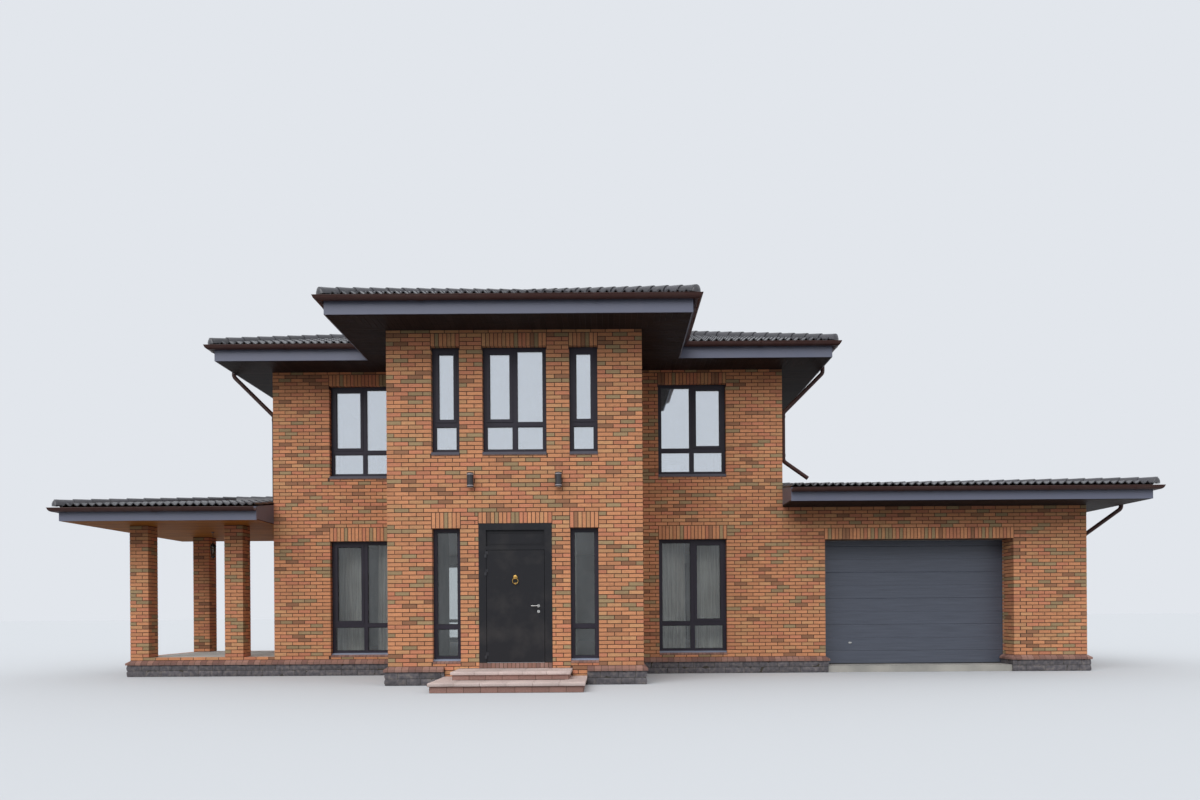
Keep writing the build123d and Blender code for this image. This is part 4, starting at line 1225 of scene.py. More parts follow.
def foot_paths():
    """The line of the wall foot on both sides of the steps, with outside to the left of the way."""
    n = house_lines()
    inside = n.front + n.wall
    left = [
        (-n.steps_half, n.bay_front), (-n.bay_half, n.bay_front), (-n.bay_half, n.front),
        (n.porch_left, n.front), (n.porch_left, n.porch_rear), (-n.half, n.porch_rear),
        (-n.half, n.rear), (n.half, n.rear), (n.half, n.garage_rear),
        (n.garage_right, n.garage_rear), (n.garage_right, n.front), (n.opening_right, n.front),
        (n.opening_right, inside),
    ]
    right = [
        (n.opening_left, inside), (n.opening_left, n.front), (n.bay_half, n.front),
        (n.bay_half, n.bay_front), (n.steps_half, n.bay_front),
    ]
    return left, right


def clipped(mesh, face, start, end):
    """A mesh without what sticks out beyond the two ends of a run."""
    bm = loosened(mesh)
    cut(bm, face.origin + face.along * start, face.along)
    cut(bm, face.origin + face.along * end, -face.along)
    return gathered("run", [bm])


class ClinkerBricks:
    """Sloping bricks on top of the stones, as the filling of mitred()."""

    PITCH = 0.125

    def __init__(self, outline, seed):
        self.outline = outline
        self.random = random.Random(seed)

    def __call__(self, face, start, end):
        unit = prism(self.outline, self.PITCH - bricks().joint)
        mesh = repeated(unit, self.PITCH, start, end,
                        lambda u: face.frame(u, 0, 0) @ ACROSS, self.random)
        return clipped(mesh, face, start, end)


def stone_unit():
    """A stone one metre square, its face divided so that it can be made rough."""
    bm = grid(6, 3)
    for v in bm.verts:
        edge = max(abs(v.co.x), abs(v.co.y)) > 0.49
        v.co.z = -0.008 if edge else 0
    return thickened(bm, 0.03)


class Stones:
    """Two rows of split stones of many lengths, as the filling of mitred()."""

    # Width of the joints, and how far behind the face a point still counts as its skin
    JOINT, SKIN = 0.007, 0.012

    def __init__(self, top, proud, seed):
        self.top, self.proud = top, proud
        self.random = random.Random(seed)

    def __call__(self, face, start, end):
        frames, tones = [], []
        rise = self.top / 2
        for row in range(2):
            place = start - self.random.uniform(0, 0.3)
            while place < end:
                length = self.random.uniform(0.22, 0.46)
                frame_of = face.frame(place + length / 2, rise * (row + 0.5), self.proud)
                size = Matrix.Diagonal((length - self.JOINT, rise - self.JOINT, 1, 1))
                frames.append(frame_of @ size)
                tones.append(self.random.random())
                place += length
        mesh = joined("stones", stone_unit(), frames, tones=tones)
        for v in mesh.vertices:
            if face.depth(v.co) > self.proud - self.SKIN:
                rough = noise.noise(v.co * 9) * 0.010 + noise.noise(v.co * 31) * 0.006
                v.co += face.outward * rough
        return clipped(mesh, face, start, end)


class HOUSE_OT_foot(bpy.types.Operator):
    """Split stones, the sloping clinker course on them and the brick threshold"""

    bl_idname = "house.foot"
    bl_label = "Foot of the walls"

    def execute(self, context):
        n = house_lines()
        stone, clinker = stone_finish(), clinker_finish()
        back, bed = -0.02, n.stone_top - 0.002
        proud = n.bay_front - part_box("sill_course")[0].y + 0.003
        outline = [(back, bed), (proud, bed), (proud, n.stone_top + 0.04), (0, n.foot + 0.003),
                   (back, n.foot + 0.003)]
        for side, path in zip(("left", "right"), foot_paths()):
            name = side + "_clinker_course"
            mesh = mitred(name, path, ClinkerBricks(outline, 21), 0.13)
            make_piece(name, mesh, clinker)
            name = side + "_split_stones"
            mesh = mitred(name, path, Stones(n.stone_top, 0.056, 22), 0.09)
            make_piece(name, mesh, stone, sharp=35)
        pile = BrickPile(23)
        face = Face(0, n.bay_front, 0)
        count, joint, back, nose = 18, 0.008, -0.1, 0.016
        pitch = 2 * n.door_half / count
        for i in range(count):
            left = -n.door_half + i * pitch
            pile.put(face, left, left + pitch - joint, n.landing + 0.004, n.door_foot - 0.002,
                     back, nose)
        pile.piece("threshold_bricks", clinker, "clinker_course")
        return {"FINISHED"}


# Steps

# Half the joint between two treads and between two blocks of a riser, and a tread's rounding
TREAD_GAP, BLOCK_GAP, TREAD_EDGE = 0.0015, 0.0025, 0.007

# Depth of the lower step's front slabs, how far its side slabs run in under the landing's, and
# the length that a riser's block comes closest to
LEDGE, UNDER, BLOCK = 0.63, 0.1, 0.28

# Patches of one tone on the treads, across and deep
TONE_PATCH = (0.41, 0.48)

PALE_STONE = ("D6C7C1", "C6B2AC", "B9A6A2")


class HOUSE_OT_steps(bpy.types.Operator):
    """Stone treads and the cut blocks of the risers"""

    bl_idname = "house.steps"
    bl_label = "Steps"

    def execute(self, context):
        gap = TREAD_GAP
        boxes = sorted(solids_of("step_treads"), key=lambda box: box[1].z)
        (low, high), (low2, high2) = boxes
        bm = bmesh.new()
        ledge = low.y + LEDGE
        count = 6
        pitch = (high.x - low.x) / count
        for i in range(count):
            x = low.x + i * pitch
            slab(bm, (x + gap, low.y, low.z), (x + pitch - gap, ledge - gap, high.z), TREAD_EDGE)
        depth = (high.y - ledge) / 2
        for x0, x1 in ((low.x, low2.x + UNDER), (high2.x - UNDER, high.x)):
            for y in (ledge, ledge + depth):
                slab(bm, (x0, y + gap, low.z), (x1, y + depth - gap, high.z), TREAD_EDGE)
        count = 5
        pitch, depth = (high2.x - low2.x) / count, (high2.y - low2.y) / 2
        for i in range(count):
            for j in range(2):
                x, y = low2.x + i * pitch, low2.y + j * depth
                slab(bm, (x + gap, y + gap, low2.z), (x + pitch - gap, y + depth - gap, high2.z),
                     TREAD_EDGE)
        tones = bm.verts.layers.float.new("tone")
        for v in bm.verts:
            column, row = (math.floor(v.co[i] / TONE_PATCH[i]) for i in range(2))
            v[tones] = (column * GOLDEN + row * 0.37) % 1
        tread = sawn_stone_finish("Flamed pale pink stone", PALE_STONE)
        make_piece("tread_slabs", [bm], tread, replaces=["step_treads"], sharp=50)

        pile = BrickPile(24)
        for low, high in solids_of("step_risers"):
            walls = [
                (Face(0, low.y, 0), low.x, high.x),
                (Face(high.x, 0, 90), low.y, high.y),
                (Face(low.x, 0, 270), -high.y, -low.y),
            ]
            for face, left, right in walls:
                count = round((right - left) / BLOCK)
                pitch = (right - left) / count
                for i in range(count):
                    start = left + i * pitch
                    pile.put(face, start + BLOCK_GAP, start + pitch - BLOCK_GAP,
                             low.z + 0.001, high.z - 0.001, -0.05, 0.004)
        riser = sawn_stone_finish("Split red brown stone", ("9C746A", "876058", "A98A7E"), 0.003)
        pile.piece("riser_blocks", riser, "step_stone")
        return {"FINISHED"}


# Windows

def wall_box(box):
    """The turn of the wall that a thin upright box lies in, as a face, and the box on that face:
    its left, right, bottom, top and front."""
    low, high = box
    middle = (low + high) / 2
    if high.x - low.x > high.y - low.y:
        turn = 0 if middle.y < 0 else 180
    else:
        turn = 90 if middle.x > 0 else 270
    face = Face(0, 0, turn)
    left, right = sorted((face.across(low), face.across(high)))
    return face, left, right, low.z, high.z, max(face.depth(low), face.depth(high))


# Sections of the metal sills, outward from the wall's face and up from the frame's foot: over the
# whole reveal upstairs, and as a strip above the sill bricks downstairs
FULL_SILL = [(-0.128, 0.022), (0.024, 0.005), (0.024, -0.042), (0.021, -0.042), (0.021, 0.002),
             (-0.128, 0.019)]
NARROW_SILL = [(-0.128, 0.022), (-0.055, 0.008), (-0.055, -0.012), (-0.058, -0.012),
               (-0.058, 0.005), (-0.128, 0.019)]

# Section of a sill brick, outward and up from the nose of the sill
SILL_BRICK = [(-0.14, 0.003), (0.003, -0.027), (0.003, -0.055), (-0.14, -0.055)]


class HOUSE_OT_windows(bpy.types.Operator):
    """Glazing gaskets, metal drip sills and sill bricks of the windows"""

    bl_idname = "house.windows"
    bl_label = "Window trim"

    def execute(self, context):
        d = details()
        thick = 0.010
        frames, sizes = [], []
        for box in solids_of("upper_window_glass") + solids_of("lower_window_glass"):
            face, left, right, foot, head, front = wall_box(box)
            frames.append(face.frame((left + right) / 2, (foot + head) / 2, front + 0.003))
            sizes.append((right - left + 0.004, head - foot + 0.004, thick))
        mesh = joined("gaskets", ring_unit(d.gasket, thick), frames, sizes)
        make_piece("gaskets", mesh, rubber_finish("Black rubber gasket"))

        strips = {"upper": [], "lower": []}
        for group in ("front", "side", "rear"):
            for box in solids_of(group + "_window_frames"):
                face, left, right, foot, _, front = wall_box(box)
                storey, outline = ("lower", NARROW_SILL) if foot < 1 else ("upper", FULL_SILL)
                place = face.frame((left + right) / 2, foot, front + d.reveal) @ ACROSS
                strips[storey].append(moved(prism(outline, right - left - 0.004), place))
        # The ground floor sills are anthracite like the upper ones; their blue grey is painted sky
        # reflection on the tops that the camera looks down on
        sheets = {"upper": coated("Anthracite coated sill", "4B4854"),
                  "lower": coated("Anthracite sill painted with sky reflection", "8A93A6", 0.3)}
        for storey, parts in strips.items():
            make_piece(storey + "_metal_sills", parts, sheets[storey])

        # Bricks on edge under the ground floor windows, laid over the sloping sills
        parts = []
        b = bricks()
        for box in solids_of("window_sills"):
            face, left, right, _, top, nose = wall_box(box)
            count = round((right - left) / (b.height + b.joint))
            step = (right - left) / count
            for i in range(count):
                place = face.frame(left + (i + 0.5) * step, top, nose) @ ACROSS
                parts.append(moved(prism(SILL_BRICK, step - 0.008), place))
        mesh = gathered("sill_bricks", parts)
        rng = random.Random(25)
        set_tones(mesh, [rng.random() for _ in parts], 2 * len(SILL_BRICK))
        make_piece("sill_bricks", mesh, clinker_finish())
        return {"FINISHED"}


def curtain(name, cloth, left, right, top, bottom, y, seed):
    """A gathered net curtain that hangs from a rail in soft folds, a little wider at its hem."""
    rng = random.Random(seed)
    folds = round((right - left) / 0.085)
    shift = [rng.uniform(-0.35, 0.35) for i in range(folds + 1)]
    depth = [rng.uniform(0.6, 1.0) for i in range(folds + 1)]
    middle = (left + right) / 2
    bm = grid(folds * 8, 10)
    for v in bm.verts:
        across, down = v.co.x + 0.5, 0.5 - v.co.y
        place = across * folds
        part = place - math.floor(place)
        i = min(int(place), folds - 1)
        drift = shift[i] * (1 - part) + shift[i + 1] * part
        wave = math.sin(math.tau * (place + drift * down))
        reach = 0.026 * (depth[i] * (1 - part) + depth[i + 1] * part) * (0.75 + 0.35 * down)
        spread = 1 + 0.05 * down
        v.co = (middle + (left + across * (right - left) - middle) * spread, y + wave * reach,
                top + (bottom - top) * down)
    rows = {}
    for v in bm.verts:
        rows.setdefault(round(v.co.z, 4), []).append(v.co.copy())
    for row in rows.values():
        row.sort(key=lambda p: p.x)
        sum((q - p).length for p, q in zip(row, row[1:]))
    piece = make_piece(name, [thickened(bm, 0.0012)], cloth, sharp=80)


# How far a curtain rail lies behind the wall's inside and over the window's head, and how far it
# reaches out on each side; its radius, its knobs' radius and the places of its arms from its ends
RAIL_BACK, RAIL_RISE, RAIL_REACH = 0.09, 0.08, 0.12
RAIL, KNOB, ARM = 0.011, 0.018, 0.05

# Windows wider than this have two curtains; how much of a window's width each of them covers
WIDE = 1
COVERED = (0.42, 0.40)


class HOUSE_OT_curtains(bpy.types.Operator):
    """Net curtains on rails behind the ground floor windows of the front"""

    bl_idname = "house.curtains"
    bl_label = "Curtains"

    def execute(self, context):
        n = house_lines()
        boxes = [box for box in solids_of("front_window_frames") if box[0].z < 1]
        steel = coated("White coated curtain rail", "DAD8D4")
        cloth = net_finish()
        lying = Matrix.Rotation(math.pi / 2, 4, "Y")
        for number, (low, high) in enumerate(sorted(boxes, key=lambda box: box[0].x), 1):
            wall = low.y - details().reveal + n.wall
            y, top, foot = wall + RAIL_BACK, high.z + RAIL_RISE, n.door_foot + 0.03
            left, right = low.x - RAIL_REACH, high.x + RAIL_REACH
            level = top + 0.012
            bm = bmesh.new()
            place = at((left + right) / 2, y, level) @ lying
            rod(bm, RAIL, right - left, place, 12)
            for x in (left + ARM, right - ARM):
                arm = at(x, (wall + y) / 2, level)
                block(bm, (0.02, y - wall, 0.02), arm)
            for x in (left, right):
                bmesh.ops.create_uvsphere(bm, u_segments=12, v_segments=8, radius=KNOB,
                                          matrix=at(x, y, level))
            rail = f"curtain_rail_{number}"
            make_piece(rail, [bm], steel, sharp=40)
            # A wide window has a curtain at each side, and a narrow one has one on the door's side
            width = high.x - low.x
            if width > WIDE:
                spans = [("_left", left + 0.02, low.x + COVERED[0] * width, number),
                         ("_right", high.x - COVERED[1] * width, right - 0.02, number + 10)]
            elif low.x < 0:
                spans = [("", low.x + 0.42, high.x + 0.1, number)]
            else:
                spans = [("", low.x - 0.1, high.x - 0.42, number)]
            for end, start, stop, seed in spans:
                curtain(f"curtain_{number}{end}", cloth, start, stop, top, foot, y, seed)
        return {"FINISHED"}


# Entrance, lamps and garage

# Rim of the knocker's boss: radius as a share of the boss's, and height over the leaf
BOSS_RIM = [(0.88, 0.0085), (0.90, 0.0118), (0.94, 0.0128), (0.98, 0.0118), (1.0, 0.0098),
            (1.04, 0.0060), (1.07, 0.0020), (1.07, -0.001), (0.88, -0.001)]

# Beads on the boss: how many, where, how large, and half the slot that the ring's neck hangs in
BEADS, BEAD_PLACE, BEAD_HEIGHT, BEAD_RADIUS, NECK_SLOT = 18, 0.76, 0.0122, 0.0032, 0.014

# Outline of the knocker's ball, radius and place along its axis
BALL = [(0, 0.016), (0.0075, 0.015), (0.0085, 0.012), (0.0072, 0.010), (0.0092, 0.006),
        (0.0098, 0), (0.0092, -0.006), (0.0072, -0.010), (0.0085, -0.012), (0.0075, -0.015),
        (0, -0.016)]


def sealed_ring(name, box, front, spread, width, thick, finish):
    """A square ring that faces the front, its sides longer than a box's by a spread."""
    low, high = box
    middle = (low + high) / 2
    size = (high.x - low.x + spread[0], high.z - low.z + spread[1], thick)
    place = Face(0, front, 0).frame(middle.x, middle.z, 0)
    make_piece(name, joined(name, ring_unit(width, thick), [place], [size]), finish)


class HOUSE_OT_entrance(bpy.types.Operator):
    """Brass rosette and ball of the knocker, rims and lock cylinders of the roses, bead, seal and
    threshold of the front door"""

    bl_idname = "house.entrance"
    bl_label = "Entrance"

    def execute(self, context):
        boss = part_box("knocker_boss")
        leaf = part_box("door_leaf")
        face_y = leaf[0].y
        middle = (boss[0] + boss[1]) / 2
        radius = (boss[1].x - boss[0].x) / 2
        brass = brass_finish()
        # A moulded rim and beads on the boss, all behind the ring, which swings in front of them
        front = at(middle.x, face_y, middle.z) @ TO_FRONT
        parts = [turned([(radius * r, h) for r, h in BOSS_RIM], front, 64, True)]
        for i in range(BEADS):
            angle = math.tau * i / BEADS
            across, up = (BEAD_PLACE * radius * f(angle) for f in (math.cos, math.sin))
            if up < 0 and abs(across) < NECK_SLOT:
                continue
            place = front @ at(across, up, BEAD_HEIGHT)
            bead = bmesh.new()
            bmesh.ops.create_icosphere(bead, subdivisions=2, radius=BEAD_RADIUS, matrix=place)
            parts.append(bead)
        # The plate that the ball strikes
        ring_low, ring_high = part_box("knocker_ring")
        foot = Vector((middle.x, (ring_low.y + ring_high.y) / 2, ring_low.z + 0.006))
        reach = face_y - foot.y - 0.010
        plate = at(foot.x, face_y, foot.z) @ TO_FRONT
        parts.append(turned([(0, reach), (0.008, reach), (0.010, reach - 0.002), (0.010, 0.003),
                             (0.015, 0.001), (0.015, -0.001), (0, -0.001)], plate))
        make_piece("knocker_rosette", parts, brass, "front_door", sharp=30)
        ball = turned(BALL, Matrix.Translation(foot) @ Matrix.Rotation(math.pi / 2, 4, "Y"))
        make_piece("knocker_ball", [ball], brass, "knocker", sharp=50)

        parts, keyhole_shades = [], []
        roses = solids_of("door_roses")
        lowest = min(high.z for low, high in roses)
        for low, high in roses:
            radius = (high.x - low.x) / 2
            middle = (low + high) / 2
            y, turn = (low.y, TO_FRONT) if middle.y < face_y else (high.y, TO_BACK)
            place = at(middle.x, y, middle.z) @ turn
            inner, outer = radius - 0.006, radius + 0.0006
            rim = [(inner, 0), (radius - 0.005, 0.0012), (radius - 0.003, 0.0012), (outer, -0.002),
                   (outer, -0.009), (inner, -0.009)]
            parts.append(turned(rim, place, closed=True))
            # The lower rose of each side has the lock's cylinder, with the slot of its key drawn as
            # a dark slab that paints the shade inside the keyhole
            if high.z <= lowest + radius:
                parts.append(turned([(0, 0.0045), (0.0075, 0.0045), (0.0085, 0.0035),
                                     (0.0085, -0.002), (0, -0.002)], place))
                low_end, high_end = (-0.0013, -0.0045, 0.003), (0.0013, 0.0045, 0.005)
                slot = slab(bmesh.new(), low_end, high_end, 0.0004)
                keyhole_shades.append(moved(slot, place))
        make_piece("door_furniture_rims", parts, steel_finish(), "front_door",
                   sharp=30)
        # Near black finish of the key slot: painted shade in place of the keyhole's depth
        dark = speckled("Painted keyhole shade", ("121214", "1B1B1E"), 0.01, (0.5, 0.6))
        make_piece("key_slot_painted_shade", keyhole_shades, dark, "front_door")

        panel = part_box("door_transom_panel")
        sealed_ring("transom_bead", panel, panel[0].y - 0.005, (-0.10, -0.08), 0.016, 0.007,
                    door_coat())
        # A rubber ring behind the gap round the leaf
        gap = panel[0].z - leaf[1].z - details().crossbar
        sealed_ring("door_seal", leaf, leaf[1].y - 0.022, (2 * gap, 2 * gap), gap - 0.0005, 0.02,
                    rubber_finish("Black rubber gasket"))
        low, high = leaf
        top = low.z - 0.003
        corner = (low.x, low.y - 0.006, top - 0.007)
        strip = slab(bmesh.new(), corner, (high.x, high.y, top), 0.0015)
        metal = aluminium_finish("Mill finish aluminium threshold", "9C9EA2")
        make_piece("threshold_strip", [strip], metal)
        return {"FINISHED"}


# Radius of the lantern's frame at its foot and under its hood, and the height of its glass
LANTERN_FOOT, LANTERN_HEAD, LANTERN_GLASS = 0.042, 0.064, 0.245


def wall_lamps():
    """The rims with the wall plates, and the lenses, of the tube lamps."""
    rims, lenses = [], []
    for low, high in solids_of("wall_lamps"):
        radius = (high.x - low.x) / 2
        x, y = (low.x + high.x) / 2, low.y + radius
        near, far = radius + 0.002, radius + 0.0035
        rim = [(radius - 0.002, -0.009), (near, -0.009), (far, -0.006), (far, 0.006), (near, 0.009),
               (radius - 0.002, 0.009)]
        inner = radius - 0.013
        lens = [(0, 0.0015), (inner, 0.001), (inner + 0.001, -0.002), (0, -0.002)]
        for z, side in ((low.z, -1), (high.z, 1)):
            rims.append(turned(rim, at(x, y, z - side * 0.030), 48, True))
            turn = Matrix.Rotation(0 if side > 0 else math.pi, 4, "X")
            lenses.append(turned(lens, at(x, y, z) @ turn, 48))
        plate = at(x, high.y - 0.004, (low.z + high.z) / 2) @ TO_FRONT
        rims.append(turned([(0, 0.014), (0.044, 0.014), (0.048, 0.010), (0.048, 0), (0, 0)], plate))
    return rims, lenses


def lantern_bars(middle, foot, hood):
    """The six uprights of the lantern, and the bars between them at three heights."""
    parts = []
    for i in range(6):
        way, after = (Vector((math.cos(a), math.sin(a), 0))
                      for a in (math.tau * i / 6, math.tau * (i + 1) / 6))
        parts.append(bar(middle + way * LANTERN_FOOT + UP * foot,
                         middle + way * LANTERN_HEAD + UP * hood, 0.007))
        for part in (0.02, 0.70, 0.97):
            reach = LANTERN_FOOT + (LANTERN_HEAD - LANTERN_FOOT) * part
            level = middle + UP * (foot + LANTERN_GLASS * part)
            parts.append(bar(level + way * reach, level + after * reach, 0.005))
    return parts


class HOUSE_OT_lamps(bpy.types.Operator):
    """Rims, lenses and wall plates of the tube lamps, and the hanging lantern of the porch"""

    bl_idname = "house.lamps"
    bl_label = "Lamps"

    def execute(self, context):
        rims, lenses = wall_lamps()
        light = coated("Pale bronze lamp rim", "A79EA2", 0.3)
        make_piece("wall_lamp_rims", rims, light, sharp=40)
        frosted = speckled("Frosted lamp lens", ("D9D8D2", "E4E3DE"), 0.02, (0.35, 0.5),
                           Coat_Weight=0.3)
        make_piece("wall_lamp_lenses", lenses, frosted, sharp=40)

        low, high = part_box("porch_lantern")
        x, y = (low.x + high.x) / 2, (low.y + high.y) / 2
        wide = (high.x - low.x) / 2
        foot = low.z + 0.049
        hood = foot + LANTERN_GLASS
        stem = high.z - hood - 0.08
        # Finial, foot, hood, chimney, stem, ceiling rose and candle: level, segments and outline
        spun = [
            (low.z, 24, [(0, 0), (0.006, 0.002), (0.009, 0.008), (0.005, 0.014), (0.012, 0.020),
                         (0.014, 0.026), (0, 0.027)]),
            (foot - 0.026, 6, [(0, 0), (0.025, 0.002), (0.041, 0.020), (0.045, 0.022),
                               (0.045, 0.028), (0, 0.028)]),
            (hood - 0.004, 6, [(0, 0), (wide + 0.004, 0), (wide + 0.004, 0.006),
                               (wide - 0.014, 0.030), (wide - 0.034, 0.062), (0, 0.062)]),
            (hood + 0.056, 24, [(0, 0), (0.030, 0), (0.033, 0.004), (0.028, 0.012),
                                (0.016, 0.020), (0.009, 0.034), (0, 0.034)]),
            (hood + 0.08, 16, [(0, 0), (0.0055, 0), (0.0055, stem), (0, stem)]),
            (high.z, 32, [(0, -0.028), (0.010, -0.026), (0.018, -0.018), (0.044, -0.010),
                          (0.048, -0.006), (0.048, 0), (0, 0)]),
            (foot, 24, [(0, 0), (0.015, 0), (0.017, 0.004), (0.010, 0.008), (0.010, 0.070),
                        (0, 0.070)]),
        ]
        parts = [turned(outline, at(x, y, z), n) for z, n, outline in spun]
        parts += lantern_bars(Vector((x, y, 0)), foot, hood)
        iron = coated("Matt black wrought iron", "222225", 0.5)
        make_piece("lantern_frame", parts, iron, replaces=["porch_lantern"], sharp=30)
        panes = [(0.040, 0), (0.0615, LANTERN_GLASS), (0.0595, LANTERN_GLASS), (0.038, 0)]
        glass = glass_finish("Seeded lantern glass", "DCE0DC", 0.12)
        make_piece("lantern_panes", [turned(panes, at(x, y, foot), 6, True)],
                   glass)
        bulb = [(0, 0), (0.009, 0), (0.010, 0.010), (0.017, 0.032), (0.017, 0.044),
                (0.011, 0.066), (0.003, 0.084), (0, 0.086)]
        opal = speckled("Opal bulb", ("E6E2D6", "EFEBE0"), 0.02, (0.25, 0.35), Coat_Weight=0.4)
        make_piece("lantern_bulb", [turned(bulb, at(x, y, foot + 0.068), 24)],
                   opal, sharp=60)
        return {"FINISHED"}


class HOUSE_OT_garage(bpy.types.Operator):
    """Rubber seal and handle plate of the sectional garage door"""

    bl_idname = "house.garage"
    bl_label = "Garage door"

    def execute(self, context):
        low, high = min(solids_of("garage_door"), key=lambda box: box[0].z)
        seal = slab(bmesh.new(), (low.x + 0.002, low.y - 0.006, low.z - 0.004),
                    (high.x - 0.002, low.y + 0.030, low.z + 0.022), 0.003)
        rubber = rubber_finish("Black rubber door seal", ("1E1E20", "29292B"), (0.55, 0.7))
        make_piece("garage_seal", [seal], rubber)
        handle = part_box("garage_door_handle")
        middle = (handle[0] + handle[1]) / 2
        rim = [(0, 0.004), (0.018, 0.004), (0.021, 0.002), (0.021, -0.001), (0, -0.001)]
        plate = turned(rim, at(middle.x, low.y, middle.z) @ TO_FRONT)
        make_piece("garage_handle_plate", [plate], steel_finish(), sharp=30)
        return {"FINISHED"}


# Stage

def seen_by_eye(tree):
    """1 for what the camera sees, also in a mirror or through glass, and 0 for light on things."""
    path = add(tree, "LightPath").outputs
    seen = maths(tree, "MAXIMUM", path["Is Camera Ray"], path["Is Glossy Ray"])
    return maths(tree, "MAXIMUM", seen, path["Is Transmission Ray"])


def world_light(tree, sky):
    """Light from all round, a little stronger from above, with a plain pale background."""
    tree.nodes.clear()
    place = add(tree, "TexCoord")
    height = add(tree, "SeparateXYZ", {0: place.outputs["Generated"]})
    ramp = add(tree, "ValToRGB", {0: height.outputs["Z"]},
               stops=[(0.0, (0.62, 0.64, 0.66, 1)), (0.5, (1.02, 1.04, 1.06, 1))])
    light = add(tree, "Background", {"Color": ramp.outputs[0], "Strength": 1.0})
    pale = add(tree, "Background", {"Color": tuple(sky), "Strength": 1.0})
    mix = add(tree, "MixShader", {0: seen_by_eye(tree), 1: light.outputs[0], 2: pale.outputs[0]})
    add(tree, "OutputWorld", {"Surface": mix.outputs[0]})


def floor_finish(shade):
    """Matt pale floor that sends less light back up than it shows."""
    material, tree = bare("Matt pale floor")
    dull = add(tree, "BsdfDiffuse", {"Color": linear("6A6A68")})
    pale = add(tree, "BsdfDiffuse", {"Color": tuple(shade)})
    mix = add(tree, "MixShader", {0: seen_by_eye(tree), 1: dull.outputs[0], 2: pale.outputs[0]})
    add(tree, "OutputMaterial", {"Surface": mix.outputs[0]})
    return material


class HOUSE_OT_stage(bpy.types.Operator):
    """Camera, soft lamps, pale floor and background"""

    bl_idname = "house.stage"
    bl_label = "Stage"

    def execute(self, context):
        scene = context.scene
        s = scene.house_stage
        data = bpy.data.cameras.new("camera")
        data.lens = 26.1
        data.sensor_width = 36
        data.shift_x = -0.005
        data.shift_y = 0.1767
        data.clip_end = 500
        camera = bpy.data.objects.new("camera", data)
        camera.location = (s.eye_x, -s.eye_y, s.eye_z)
        camera.rotation_euler = (math.pi / 2, s.roll, 0)
        scene.camera = camera
        scene.view_settings.view_transform = "Standard"

        world = bpy.data.worlds.new("soft sky")
        world.use_nodes = True
        world_light(world.node_tree, s.sky)
        scene.world = world

        sun = bpy.data.lights.new("soft key", "SUN")
        sun.energy = 1.5
        sun.angle = math.radians(50)
        lamp = bpy.data.objects.new("soft key", sun)
        lamp.rotation_euler = (math.radians(48), 0, math.radians(-25))

        bm = bmesh.new()
        place = at(0, 0, -0.002)
        bmesh.ops.create_grid(bm, x_segments=1, y_segments=1, size=200, matrix=place)
        mesh = gathered("floor", [bm])
        mesh.materials.append(floor_finish(s.floor))
        floor = bpy.data.objects.new("floor", mesh)
        for thing in (camera, lamp, floor):
            scene.collection.objects.link(thing)
        floor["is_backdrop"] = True
        return {"FINISHED"}


# Finishes

def bare(name):
    """A material without nodes."""
    material = bpy.data.materials.new(name)
    material.use_nodes = True
    material.node_tree.nodes.clear()
    return material, material.node_tree


def maths(tree, operation, *values):
    """The result of a maths node on one or more numbers."""
    return add(tree, "Math", dict(enumerate(values)), operation=operation).outputs[0]


def ranged(tree, value, low, high, start=0.0, end=1.0):
    """A number that lies from start to end, brought to lie from low to high."""
    return add(tree, "MapRange", {0: value, 1: start, 2: end, 3: low, 4: high}).outputs[0]


def place_on(tree, scale=(1, 1, 1)):
    """Object coordinates, scaled along each axis."""
    place = add(tree, "TexCoord")
    return add(tree, "Mapping", {"Vector": place.outputs["Object"], "Scale": scale}).outputs[0]


def cloudy(tree, scale, detail, stretch=(1, 1, 1), **inputs):
    """Soft noise whose patches are about one over its scale in metres wide."""
    inputs = {"Vector": place_on(tree, stretch), "Scale": scale, "Detail": detail, **inputs}
    return add(tree, "TexNoise", inputs).outputs[0]


